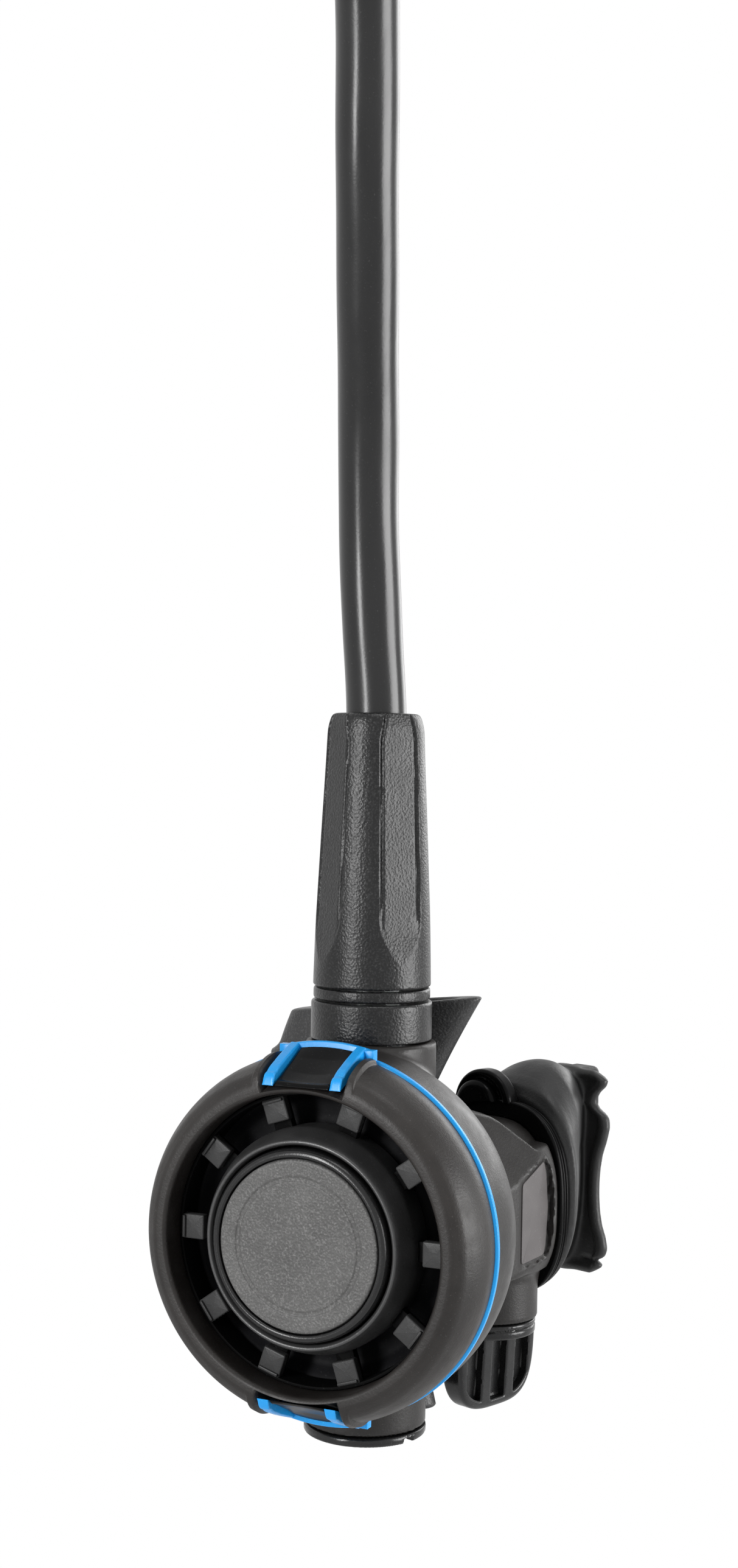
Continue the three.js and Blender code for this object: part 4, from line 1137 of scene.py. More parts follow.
@dataclass(frozen=True)
class FrontCover:
    """The soft-touch cover, its coloured seam and bars, and the two latch panels.

    Attributes:
        latch_half: half width of a latch over its coloured bars.
        bar: width of a coloured bar.
        rib: outer edge of the raised rib beside a latch.
        crowd: angle from a latch's middle within which the cover's columns keep their x, in degrees.
    """

    latch_half: float = 8.0
    bar: float = 2.2
    rib: float = 10.3
    crowd: float = 32

    def floor(self, depth: Array) -> Array:
        """Returns the radius of the latch recess's floor at a depth."""
        return np.interp(depth, (-31.4, -20.2), (28.9, 33.4))

    def cover(self) -> Shell:
        """The cover: its profile carried round, with the columns near a latch held at equal x.

        Between the latch's edges the radius is no more than the floor's, and a low rib runs along each edge.

        Returns:
            The cover.
        """
        corners = [(28.0, -21.4), (28.0, -30.9), (28.6, -31.6), (30.4, -31.62), (32.5, -30.2), (34.0, -27.4),
                   (34.85, -23.8), (34.5, -20.2), (31.3, -20.2), (31.3, -21.4)]
        profile = denser(eased(corners, (0.3, 0.6, 0.4, 0.9, 0.9, 2.0, 2.0, 0.25, 0.2, 0.2), 6), 0.5)
        edge = self.latch_half + 0.75
        at_edge, at_rib = np.array([-0.12, 0.0, 0.12, 0.3, 0.55]), np.array([-0.15, 0.0, 0.15, 0.3, 0.6])
        near = np.concatenate([np.linspace(0, edge - 0.3, 12), edge + at_edge,
                               np.linspace(edge + 0.8, self.rib - 0.3, 4), self.rib + at_rib])
        spread = np.linspace(0, 1, 26)[1:]
        radius, depth = profile[:, 0][:, None], profile[:, 1][:, None]
        border = radius * math.sin(math.radians(self.crowd))
        last = near[-1]
        close = np.repeat(near[None], len(profile), 0)
        right = np.concatenate([close, last + (border - last) * spread[None]], 1)
        turn = np.arcsin(np.clip(right / radius, -1, 1))
        rest = np.radians(np.linspace(self.crowd, 180 - self.crowd, 110)[1:-1])
        half = np.concatenate([turn, np.repeat(rest[None], len(profile), 0), math.pi - turn[:, ::-1]], 1)
        full = np.concatenate([half[:, :-1], 2 * math.pi - half[:, :0:-1]], 1)
        x = np.abs(radius * np.sin(full))
        latch = np.abs(np.cos(full)) > 0.8
        inside = latch & (x < edge + 0.05)
        rib = latch * step_up(x, edge, edge + 0.3) * (1 - step_up(x, self.rib - 0.3, self.rib + 0.3))
        outer = step_up(radius, 30.2, 31.6) * step_up(-depth, 20.15, 20.7)
        lifted = radius + 0.75 * rib * outer
        final = np.where(inside, np.minimum(radius, self.floor(depth)), lifted)
        points = np.broadcast_arrays(final * np.sin(full), depth, final * np.cos(full))
        return grid(np.stack(points, -1), round_rows=True)

    def slat(self, y: tuple[float, ...], top: tuple[float, ...], low: float, high: float, ease: float,
             hollow: float = 0.0) -> Shell:
        """A strip that follows the recess's floor: a rounded box section carried from front to rear.

        Args:
            y: depths of the top's points.
            top: heights of the top's points.
            low: least x.
            high: greatest x.
            ease: radius of its upper edges.
            hollow: how far the top's middle sinks below its edges.

        Returns:
            The strip.
        """
        depth = np.linspace(y[0], y[-1], 48)
        height = smooth_line(depth, y, top)
        floor = self.floor(depth) + 0.32
        width = high - low
        out, back = np.linspace(0, math.pi / 2, 6), np.linspace(math.pi / 2, 0, 6)
        a = np.concatenate([np.linspace(low, high, 6), high - ease * (1 - np.cos(out)),
                            np.linspace(high - ease, low + ease, 9)[1:-1], low + ease * (1 - np.cos(back))])
        drop = np.concatenate([np.zeros(6), ease * (1 - np.sin(out)), np.zeros(7), ease * (1 - np.sin(back))])
        upper = np.concatenate([np.zeros(6, bool), np.ones(19, bool)])
        bowl = np.clip(1 - (np.abs(a - (low + high) / 2) / (width / 2)) ** 2, 0, 1)
        depth, height, floor = depth[:, None], height[:, None], floor[:, None]
        sink = hollow * bowl * np.interp(depth, (-31.0, -27.0, -23.0, -20.4), (0.3, 1.0, 0.4, -0.8))
        level = np.where(upper, np.maximum(height - drop - sink, floor + 0.1), floor)
        return capped(np.stack(np.broadcast_arrays(a, depth, level), -1))

    def bezel(self) -> Shell:
        """The coloured ring in the seam, the bridge behind each latch and the bars forward over it.

        Returns:
            The ring, the bridges and the bars.
        """
        s = PLAN.seam
        corners = [(32.6, s - 0.6), (34.5, s - 0.66), (35.0, s - 0.3), (35.0, s + 0.64), (32.6, s + 0.6)]
        seam = lathed(corners, (0.1, 0.1, 0.15, 0.25, 0.1), 0.4, "Y", 320)
        radius = np.hypot(seam.points[:, 0], seam.points[:, 2])
        hidden = step_up(-np.abs(seam.points[:, 0]), -9.6, -9.0)
        shrink = 1 - hidden * np.maximum(radius - 33.0, 0) / radius
        seam = Shell(seam.points * np.stack([shrink, np.ones_like(shrink), shrink], -1), seam.faces)
        arc = np.radians(np.linspace(90 + 15.6, 90 - 15.6, 40))
        unit = np.stack([np.cos(arc), np.sin(arc)], -1)
        strips = [prism(np.concatenate([36.5 * unit, 34.0 * unit[::-1]]), s - 0.66, s + 0.62, 0.25)]
        for side in (-1, 1):
            middle = side * 8.6
            foot = [[middle - 1.2, 33.4], [middle + 1.2, 33.4], [middle + 1.2, 35.5], [middle - 1.2, 35.5]]
            strips.append(prism(foot, s - 1.35, s + 0.62, 0.2))
        bridge = joined(*strips).tipped()
        y = (-31.45, -31.15, -29.6, -26.5, -23.0, -20.0)
        top = (29.3, 30.3, 31.8, 33.4, 34.8, 35.9)
        inner, outer = self.latch_half - self.bar, self.latch_half
        bars = [self.slat(y, top, low, high, 0.45) for low, high in ((-outer, -inner), (inner, outer))]
        upper = joined(bridge, *bars)
        return joined(seam, upper, upper.turned("Y", 180))

    def panel(self) -> Shell:
        """The dark panel between two bars, a saddle with a low step at the front.

        Returns:
            The upper panel.
        """
        half = self.latch_half - self.bar - 0.3
        y = (-31.35, -31.05, -29.9, -27.0, -23.5, -20.45)
        top = (29.35, 29.8, 30.3, 31.7, 33.4, 35.0)
        return self.slat(y, top, -half, half, 0.35, 0.55)

    def build(self) -> None:
        """Makes the cover, the seam and the panels."""
        Fit("soft_touch_plastic", SOFT_TOUCH, "front_cover").give("cover_shell", self.cover(), 34)
        Fit("blue_plastic", BLUE, "bezel_ring").give("cover_seam_ring", self.bezel())
        gloss = Fit("gloss_black_plastic", GLOSS_BLACK, "latch_panel_upper")
        gloss.give("cover_latch_upper", self.panel())
        lower = Fit("gloss_black_plastic", GLOSS_BLACK, "latch_panel_lower")
        lower.give("cover_latch_lower", self.panel().turned("Y", 180))


@dataclass(frozen=True)
class Grille:
    """The vented ring between the cover and the button.

    Attributes:
        teeth: number of teeth.
        tooth_width: width of a tooth.
    """

    teeth: int = 10
    tooth_width: float = 4.7

    def frame(self) -> Shell:
        """Returns the outer band with its clamped flange, carried round the button's axis."""
        corners = [(27.2, -20.5), (31.0, -20.5), (31.0, -21.1), (27.85, -21.1), (27.85, -26.3), (27.2, -26.3)]
        return lathed(corners, (0.2, 0.1, 0.1, 0.1, 0.2, 0.2), 0.5, "Y", 220)

    def hub(self) -> Shell:
        """Returns the cone that guides the button, carried round the button's axis."""
        corners = [(18.4, -30.4), (18.8, -31.0), (19.3, -31.0), (19.8, -30.2), (21.3, -26.2), (21.2, -20.6),
                   (18.4, -20.6)]
        return lathed(corners, (0.3, 0.25, 0.25, 0.6, 0.8, 0.2, 0.2), 0.5, "Y", 220)

    def tooth(self) -> Shell:
        """One tooth: a plate by the band, with a fine bead on its outer end.

        Returns:
            The tooth that points to +x.
        """
        half = self.tooth_width / 2
        plate = prism(box_outline(24.95, 2.3, half, 0.35), -26.4, -24.6, 0.3, 5)
        bead = prism(box_outline(26.7, 0.28, half - 0.25, 0.2), -26.95, -26.0, 0.15, 3)
        return joined(plate, bead).tipped()

    def build(self) -> None:
        """Makes the grille, one moulding in three finishes: its frame, spokes and seat darkened as painted
        shade so the gaps read deep, and its teeth and its hub with a glossier face lightened as painted light.
        """
        # Frame, spokes and seat take the painted-shade finish; teeth and hub take lightened copies of the same
        # moulding's finish, as painted light.
        shaded_frame = Fit("black_plastic", PAINTED_SHADE_BLACK, "cover_grille")
        teeth = [self.tooth().turned("Y", 360 * i / self.teeth) for i in range(self.teeth)]
        inner = prism(box_outline(12.6, 6.4, 1.5, 0.4), -22.3, -20.9, 0.2, 3)
        outer = prism(box_outline(24.0, 3.3, 1.9, 0.3), -24.9, -23.0, 0.2, 3)
        arm, bracket = inner.tipped(), outer.tipped()
        spokes = [arm.turned("Y", 120 * i) for i in range(3)]
        spokes += [bracket.turned("Y", 360 * i / self.teeth) for i in range(self.teeth)]
        corners = [(4.0, -22.3), (8.6, -22.3), (8.6, -20.9), (4.0, -20.9)]
        seat = lathed(corners, 0.2, 0.6, "Y", 96)
        shaded_frame.give("cover_grille_frame", joined(self.frame(), seat, *spokes))
        Fit("black_plastic", LIT_GRILLE_SATIN, "cover_grille").give("cover_vent_grille", joined(*teeth))
        Fit("black_plastic", LIT_GUIDE_SATIN, "cover_grille").give("cover_grille_hub", self.hub())


@dataclass(frozen=True)
class PurgeButton:
    """The purge button with its grained face plate.

    Attributes:
        radius: outer radius.
        plate: radius of the face plate.
        front: depth of the rim's front.
    """

    radius: float = 18.0
    plate: float = 16.1
    front: float = -32.1

    def button(self) -> Shell:
        """The button's cup and stem: a profile that starts and ends on the axis, carried round.

        Returns:
            The button.
        """
        r, front = self.radius, self.front
        corners = [(0, -30.7), (16.35, -30.7), (16.35, front + 0.25), (16.8, front - 0.05),
                   (17.5, front + 0.15), (r, front + 1.0), (r, -26.6), (16.6, -26.6), (16.6, -29.3),
                   (3.0, -29.3), (3.0, -20.4), (0, -20.4)]
        cuts = (0, 0.2, 0.25, 0.35, 0.5, 0.8, 0.2, 0.2, 0.3, 0.6, 0.4, 0)
        return lathed(corners, cuts, 0.6, "Y", 200, 6, closed=False)

    def face(self) -> Shell:
        """The face plate, a little dished, with a shallow plain ring round its bare middle.

        Returns:
            The plate.
        """
        front = self.front + 0.12
        corners = [(0, front + 0.16), (11.9, front + 0.1), (12.15, front + 0.28), (12.75, front + 0.28),
                   (13.0, front + 0.08), (15.75, front), (self.plate, front + 0.3), (self.plate, -30.9),
                   (0, -30.9)]
        return lathed(corners, (0, 0.15, 0.15, 0.15, 0.15, 0.4, 0.3, 0.1, 0), 0.6, "Y", 200, closed=False)

    def build(self) -> None:
        """Makes the button and its face plate."""
        Fit("black_plastic", BLACK_SATIN, "purge_button", "purge").give("purge_cup", self.button())
        Fit("black_plastic", LIT_BUTTON_GRAIN, "purge_face_plate", "purge").give("purge_face", self.face())


# ------------------------------------------------------------------ rear case


def outline_field(a: Array, b: Array, corners: tuple[tuple[float, float], ...]) -> Array:
    """Distance to a convex outline: the greatest of the distances past its sides.

    Args:
        a: first coordinates.
        b: second coordinates.
        corners: the outline's corners, counted clockwise.

    Returns:
        The distances, negative inside.
    """
    far = np.full(np.shape(a), -1e3)
    for (a0, b0), (a1, b1) in zip(corners, corners[1:] + corners[:1]):
        length = math.hypot(a1 - a0, b1 - b0)
        far = np.maximum(far, ((a - a0) * (b0 - b1) + (b - b0) * (a1 - a0)) / length)
    return far


@dataclass(frozen=True)
class RearCase:
    """The moulded case behind the cover, with the duct to the mouthpiece, and its bare label plate.

    Attributes:
        back: depth of the case's back.
        duct_length: length of the duct to the clamp.
        label: corners of the label's outline, along the duct and up.
        step: cell size of the skin.
    """

    back: float = 11.5
    duct_length: float = 31.5
    label: tuple[tuple[float, float], ...] = (
        (19.2, 3.4), (27.6, 7.3), (28.6, 4.6), (29.6, -3.0), (28.8, -10.6), (28.0, -13.0), (19.2, -13.6))
    step: float = 0.62

    def label_floor(self, s: Array) -> Array:
        """Returns how far out the label's recess lies: level with the wall near the case, deep past it."""
        return np.interp(s, (18.0, 30.0), (17.35, 15.7))

    def shell_radius(self, y: Array) -> Array:
        """Returns the case's outer radius at a depth."""
        depths = (-18.8, -10.8, -7.8, -1.5, 5.0, 9.5, 11.5)
        return smooth_line(y, depths, (34.5, 34.5, 33.9, 31.3, 27.0, 21.0, 16.0))

    def duct(self, p: Array) -> Array:
        """Distance to the duct: ovals along it, |w/W|^p + |h/H|^p = 1, whose centre and size change with s.

        Args:
            p: bench points.

        Returns:
            The distances.
        """
        s, w, z = to_duct(p)
        at = (-6.0, 8.0, 20.0, self.duct_length)
        wide = smooth_line(s, at, (25.0, 22.4, 19.7, 17.2))
        high = smooth_line(s, at, (23.0, 20.6, 19.5, 18.8))
        aside = smooth_line(s, at, (4.6, 2.4, 0.5, 0.0))
        rise = smooth_line(s, at, (-0.6, -1.6, -2.6, PLAN.duct_drop))
        return oval_field(w - aside, z - rise, wide, high, 2.6)

    def outside(self, p: Array) -> Array:
        """Distance to the case's outside: shell, boss, tube foot, duct, socket, knob boss and exhaust port.

        Args:
            p: bench points.

        Returns:
            The distances.
        """
        s, w, z = to_duct(p)
        x, y = p[..., 0], p[..., 1]
        radial = np.hypot(x, p[..., 2])
        back = overlap((radial - self.shell_radius(y)) * 0.8, y - self.back, 2.0)
        shell = np.maximum(back, -18.8 - y)
        tube = np.hypot(x, y)
        body = melt(shell, rod(tube, z, 12.9, 20, PLAN.boss_top, 0.8), 1.6)
        body = melt(body, rod(tube, z, 12.0, -40.7, -20, 0.5), 1.6)
        duct = overlap(self.duct(p), s - self.duct_length, 1.2)
        brow = 2.6 + 0.32 * (s - 15.0)
        side = 17.5 + 0.55 * np.maximum(13.0 - s, 0)
        bevel = (w - side + 0.6 * np.maximum(z - brow, 0)) / 1.16
        duct = overlap(duct, np.maximum(bevel, w - side), 0.7)
        neck = oval_field(w, z - PLAN.duct_drop, 14.3, 17.2, 2.6)
        notch = np.maximum(24.6 - 1.05 * (z - 10.7) - s, np.maximum(9.4 + 0.12 * (s - 26) - z, -neck))
        duct = carve(duct, notch, 0.7)
        ledge = np.maximum(z + 16.2, np.maximum(12 - s, -oval_field(w - 1.2, z + 3.4, 14.0, 17.2, 2.6)))
        duct = carve(duct, ledge, 0.6)
        body = melt(body, np.maximum(duct, -4 - s), 3.0)
        socket = np.maximum(oval_field(w, z - PLAN.duct_drop, 13.6, 16.4, 2.6), np.maximum(s - 38.5, 10 - s))
        body = np.minimum(body, socket)
        knob = PLAN.from_knob(s, w)
        body = melt(body, rod(knob, z, 10.2, -26.7, -12, 0.5), 2.4)
        port = np.hypot(y - PLAN.port_depth, z)
        return melt(body, rod(port, x, 11.2, -22.6, -8.6, 0.4), 1.5)

    def field(self, p: Array) -> Array:
        """Distance to the whole case: its outside less the chamber, the bores and the label's recess.

        Args:
            p: bench points.

        Returns:
            The distances.
        """
        s, w, z = to_duct(p)
        x, y = p[..., 0], p[..., 1]
        radial = np.hypot(x, p[..., 2])
        body = self.outside(p)
        label = np.maximum(outline_field(s, z, self.label) - 0.4, self.label_floor(s) - w)
        body = carve(body, label, 0.3)
        chamber = np.maximum((radial - self.shell_radius(y) + 3.2) * 0.8, y - self.back + 3.5)
        body = carve(body, chamber, 0.4)
        at = (-14.0, 6.0, 20.0, 31.5, 42.0)
        wide = smooth_line(s, at, (17.0, 16.0, 13.6, 11.7, 11.7))
        high = smooth_line(s, at, (17.0, 16.0, 15.9, 14.5, 14.5))
        rise = smooth_line(s, at, (-0.6, -1.6, -2.6, PLAN.duct_drop, PLAN.duct_drop))
        body = carve(body, np.maximum(oval_field(w, z - rise, wide, high, 2.6), -14 - s), 0.4)
        tube = np.hypot(x, y)
        body = carve(body, tube - 8.7, 0.3)
        knob = PLAN.from_knob(s, w)
        body = carve(body, np.maximum(knob - 4.5, z + 10), 0.3)
        port = np.hypot(y - PLAN.port_depth, z)
        return carve(body, np.maximum(port - 9.0, x + 2), 0.3)

    def plate(self) -> Shell:
        """The bare label plate: its outline, with eased edges, carried out across the duct.

        Returns:
            The plate.
        """
        outline = denser(eased(np.array(self.label[::-1]), 0.8, 6), 0.7)
        outline = outline.mean(0) + (outline - outline.mean(0)) * 0.97
        flat = prism(outline, -0.5, 0.22, 0.2, 5)
        along, height, out = flat.points.T
        return Shell(from_duct(along, self.label_floor(along) + out, height), flat.faces)

    def build(self) -> None:
        """Makes the case and the label plate."""
        case = skin(self.field, (-36, -19.4, -42), (36, 57, 36), self.step)
        Fit("soft_touch_plastic", CASE_SATIN, "rear_case").give("case_shell", case, 60)
        Fit("grey_label", LABEL, "label_plate").give("case_label", self.plate())


# ------------------------------------------------------------------ mouthpiece end


@dataclass(frozen=True)
class MouthEnd:
    """The clamp and the silicone mouthpiece at the duct's end.

    Attributes:
        clamp_start: where the clamp starts along the duct.
        clamp_end: where it ends.
        lip: place of the lip flange.
        tip: where the tube ends.
    """

    clamp_start: float = 31.8
    clamp_end: float = 35.0
    lip: float = 54.2
    tip: float = 55.2

    def clamp_band(self) -> Shell:
        """The clamp's band: an oval ring whose outside has three round ridges, each half an oval of s.

        Returns:
            The band.
        """
        s = np.linspace(self.clamp_start, self.clamp_end, 72)
        ridge = np.full_like(s, -0.3)
        for middle, half in ((0.62, 0.6), (1.68, 0.38), (2.5, 0.32)):
            bulge = np.sqrt(np.clip(1 - ((s - self.clamp_start - middle) / half) ** 2, 0, 1)) ** 0.8
            ridge = np.maximum(ridge, -0.3 + 1.05 * half * bulge)
        rise = np.concatenate([[-3.2], ridge, [-3.2]])
        along = np.concatenate([[s[0]], s, [s[-1]]])
        across, up = squircle((17.2 + rise)[:, None], (20.4 + rise)[:, None], 2.6, 220)
        points = np.stack([np.broadcast_to(along[:, None], across.shape), across, up + PLAN.duct_drop], -1)
        return grid(points, round_rows=True)

    def clamp_ear(self) -> Shell:
        """The clamp's ear: a round lug with a groove round a raised boss, cut off where the duct starts.

        Returns:
            The ear's skin.
        """

        def field(p: Array) -> Array:
            """Distance to the ear, with s, w and height as the three coordinates.

            Args:
                p: points in the duct's measures.

            Returns:
                The distances.
            """
            s, w, z = p[..., 0], p[..., 1], p[..., 2]
            lug = rod(np.hypot(w + 4.7, z - 15.3), s, 7.95, self.clamp_start - 0.5, self.clamp_end, 0.7)
            hollow = rod(np.hypot(w + 5.2, z - 15.5), s, 6.5, self.clamp_start - 4, self.clamp_start + 0.9, 0.3)
            boss = rod(np.hypot(w + 5.9, z - 15.4), s, 5.55, self.clamp_start - 1.9, self.clamp_end - 0.4, 1.3)
            body = np.minimum(carve(lug, hollow, 0.4), boss)
            inner = oval_field(w, z - PLAN.duct_drop, 17.0, 20.1, 2.6)
            return carve(body, inner, 0.2)

        return skin(field, (29.0, -13.6, 5.0), (35.8, 4.6, 24.2), 0.34)

    def mouth_field(self, p: Array) -> Array:
        """Distance to the mouthpiece: a flattening tube, a beaded flange and two bite tabs, less the airway.

        Args:
            p: points in the duct's measures.

        Returns:
            The distances.
        """
        s, w, z = p[..., 0], p[..., 1], p[..., 2]
        at = (35.2, 37.0, 39.0, 41.3, 44.0, 47.0, 50.0, 53.0, 60.0)
        top = np.clip((z - 6.0) / 14.0, 0, 1) * np.clip((s - 38.0) / 5.0, 0, 1)
        wide = smooth_line(s, at, (17.1, 17.6, 16.2, 14.4, 12.5, 10.1, 7.9, 6.2, 5.8)) + 2.2 * top
        high = smooth_line(s, at, (20.8, 22.2, 22.7, 23.0, 23.2, 23.0, 22.4, 21.6, 21.0))
        rise = smooth_line(s, at, (-2.9, -1.4, -0.4, 0.5, 1.2, 1.5, 1.1, 0.6, 0.4))
        tube = oval_field(w, z - rise, wide, high, 2.3)
        body = np.maximum(tube, np.maximum(35.2 - s, s - self.tip))
        body = body - 0.28 * np.exp(-(((s - 36.3) / 0.55) ** 2))
        knots = (-24.0, -22.3, -21.4, -19.6, -19.0, -17.6, -15.4, -11.6, -6.6, -1.5, 3.7, 8.3, 11.3, 13.2,
                 14.6, 15.6, 18.0, 20.0, 21.4, 22.3, 24.0)
        reach = (6.0, 9.4, 10.7, 10.8, 11.4, 12.1, 12.0, 10.8, 10.1, 10.1, 10.7, 12.0, 12.4, 11.7,
                 9.6, 8.9, 9.4, 11.2, 11.2, 9.6, 5.0)
        rim = np.maximum((np.abs(w) - smooth_line(z * 1.035, knots, reach)) * 0.85, np.abs(z) - 22.2)
        off = np.abs(z + 2)
        bend = self.lip + 0.012 * (off / 4) ** 2 - 0.02 * np.abs(w) * np.clip(1 - off / 16, 0, 1)
        plate = overlap(rim, np.abs(s - bend) - 0.75, 0.6)
        bead = np.hypot(rim + 1.0, s - bend + 0.5) - 1.0
        split = np.exp(-(((z + 19.2) / 0.5) ** 2)) * (np.abs(w) > 6)
        plate = melt(plate, bead, 0.5) + 0.5 * split
        body = melt(body, plate, 1.6)
        upper = brick(w, s - 58.4, z - 16.6, (3.6, 4.4, 5.4), 1.5)
        lower = brick(w, s - 58.4, z + 15.4, (3.6, 4.4, 5.0), 1.5)
        body = melt(melt(body, upper, 1.5), lower, 1.5)
        at = (35, 38.8, 40.5, 44, 50, 58)
        wide = smooth_line(s, at, (13.9, 13.8, 11.6, 9.0, 6.0, 4.4))
        high = smooth_line(s, at, (16.7, 16.7, 15.6, 14.4, 11.8, 9.0))
        rise = smooth_line(s, at, (-3.4, -3.4, -2.6, -1.4, 0.2, 0.6))
        return carve(body, oval_field(w, z - rise, wide, high, 2.5), 0.7)

    def build(self) -> None:
        """Makes the clamp and the mouthpiece."""
        clamp = joined(self.clamp_band(), self.clamp_ear()).on_duct()
        Fit("gloss_black_plastic", GLOSS_BLACK, "mouthpiece_clamp").give("mouth_clamp", clamp, 50)
        mouth = skin(self.mouth_field, (34.6, -18.6, -24.5), (63.0, 18.6, 26.5), 0.5).on_duct()
        Fit("mouth_silicone", MOUTH, "mouthpiece").give("mouth_bite", mouth, 60)


# ------------------------------------------------------------------ flow knob


@dataclass(frozen=True)
class FlowKnob:
    """The knob that turns the vane in the duct.

    Attributes:
        radius: radius of its flange.
        grip_half: half width of its grip, along the duct.
        tip: height of the grip's lowest point.
        top: height of the flange's top.
    """

    radius: float = 9.8
    grip_half: float = 12.0
    tip: float = -45.9
    top: float = -27.0

    def field(self, p: Array) -> Array:
        """Distance to the knob: a ringed flange, a flat rounded grip with three pockets a side, and a shaft.

        Args:
            p: points from the knob's axis: along the duct, across it, and height.

        Returns:
            The distances.
        """
        a, b, z = p[..., 0], p[..., 1], p[..., 2]
        radial = np.hypot(a, b)
        flange = rod(radial, z, self.radius, -30.0, self.top, 0.45)
        flange = flange + 0.5 * np.clip(1 - np.abs(z + 28.2) / 0.35, 0, 1) * (radial > 8)
        thick = np.interp(z, (-46.0, -30.0), (2.6, 3.5)) * (1.06 - 0.16 * (a / self.grip_half) ** 2)
        tall = 13.5
        centre = self.tip + tall
        below = np.abs(np.minimum(z - centre, 0) / tall)
        bowl = (np.abs(a / self.grip_half) ** 3.6 + below**3.0) ** (1 / 3.3)
        end = (bowl - 1) * self.grip_half
        outline = np.maximum(end, z + 29.5)
        grip = overlap(outline, np.abs(b) - thick, 1.2)
        pockets = np.full(np.shape(a), 1e3)
        for place in (-1, 0, 1):
            reach = np.maximum(np.abs(a - place * 7.4) - 2.2, end + 1.5)
            pockets = np.minimum(pockets, np.maximum(reach, z + 30.4))
        grip = carve(grip, np.maximum(pockets, thick - 1.9 - np.abs(b)), 0.5)
        shaft = rod(radial, z, 4.2, -30, -13.0, 0.3)
        return np.minimum(melt(flange, grip, 1.0), shaft)

    def build(self) -> None:
        """Makes the knob."""
        knob = skin(self.field, (-12.8, -10.6, -46.8), (12.8, 10.6, -12.4), 0.36)
        knob = knob.moved(PLAN.knob_along, PLAN.knob_aside).on_duct()
        Fit("black_plastic", BLACK_SATIN, "flow_knob", "flow_knob").give("knob_grip", knob, 50)


# ------------------------------------------------------------------ exhaust


@dataclass(frozen=True)
class ExhaustDeflector:
    """The moulded rubber deflector: a chamber over the exhaust port and two flattened horns.

    Attributes:
        wall: wall thickness.
        depth: depth of the horns' middle plane.
        half_depth: half depth of a horn.
        chamber_half: half height of the chamber.
    """

    wall: float = 1.5
    depth: float = 19.6
    half_depth: float = 6.0
    chamber_half: float = 26.5

    def outside(self, p: Array) -> Array:
        """Distance to the outside, with the horns run on past their mouths.

        Args:
            p: bench points.

        Returns:
            The distances.
        """
        x, y, z = p[..., 0], p[..., 1], p[..., 2]
        up = (20.0, 22.7, 29.0, 39.6, 46.0)
        cx = smooth_line(z, up, (-13.8, -12.9, -10.6, -5.6, -2.0))
        half = smooth_line(z, up, (18.0, 18.4, 19.2, 20.0, 20.2))
        across = y - self.depth
        upper = np.maximum(oval_field(x - cx, across, half, np.full_like(half, self.half_depth), 2.2), 21 - z)
        down = (-48.0, -42.6, -32.0, -24.4, -21.0)
        dx = smooth_line(z, down, (-7.4, -9.4, -14.6, -19.0, -21.0))
        wide = smooth_line(z, down, (16.0, 16.4, 18.0, 15.6, 14.6))
        lower = np.maximum(oval_field(x - dx, across, wide, np.full_like(wide, self.half_depth), 2.2), z + 22.5)
        crown = np.abs(z) / self.chamber_half
        taper = step_up(crown, 0.7, 1.0)
        inward = x + 29.8 - 6.0 * step_up(crown, 0.5, 0.95)
        chamber = oval_field(inward, y - (23.2 - 2.6 * taper), 7.0 - 1.4 * taper, 12.4 - 5.2 * taper, 2.4)
        chamber = np.maximum(chamber, np.abs(z) - self.chamber_half)
        return melt(melt(chamber, upper, 4.0), lower, 4.0)

    def field(self, p: Array) -> Array:
        """Distance to the deflector: a wall inside the outside, cut at the two mouths and at the port.

        Args:
            p: bench points.

        Returns:
            The distances.
        """
        x, y, z = p[..., 0], p[..., 1], p[..., 2]
        outside = self.outside(p)
        wall = carve(outside, outside + self.wall, 0.5)
        body = overlap(wall, z - 39.6 - 0.12 * (x + 5.6), 0.6)
        body = carve(body, z + 43.0, 0.6)
        port = np.maximum(np.hypot(y - PLAN.port_depth, z) - 11.6, np.abs(x + 23.0) - 6.8)
        room = np.maximum(np.hypot(x, z) - np.interp(y, (9.5, 12.0), (22, 0)), y - 12.3)
        return carve(np.maximum(body, -room), port, 0.4)

    def build(self) -> None:
        """Makes the deflector."""
        deflector = skin(self.field, (-38, 9.6, -44.4), (16.4, 36.8, 43.4), 0.52)
        Fit("moulded_rubber", LIT_HORN_RUBBER, "exhaust_deflector").give("exhaust_horns", deflector, 60)


# ------------------------------------------------------------------ inner works


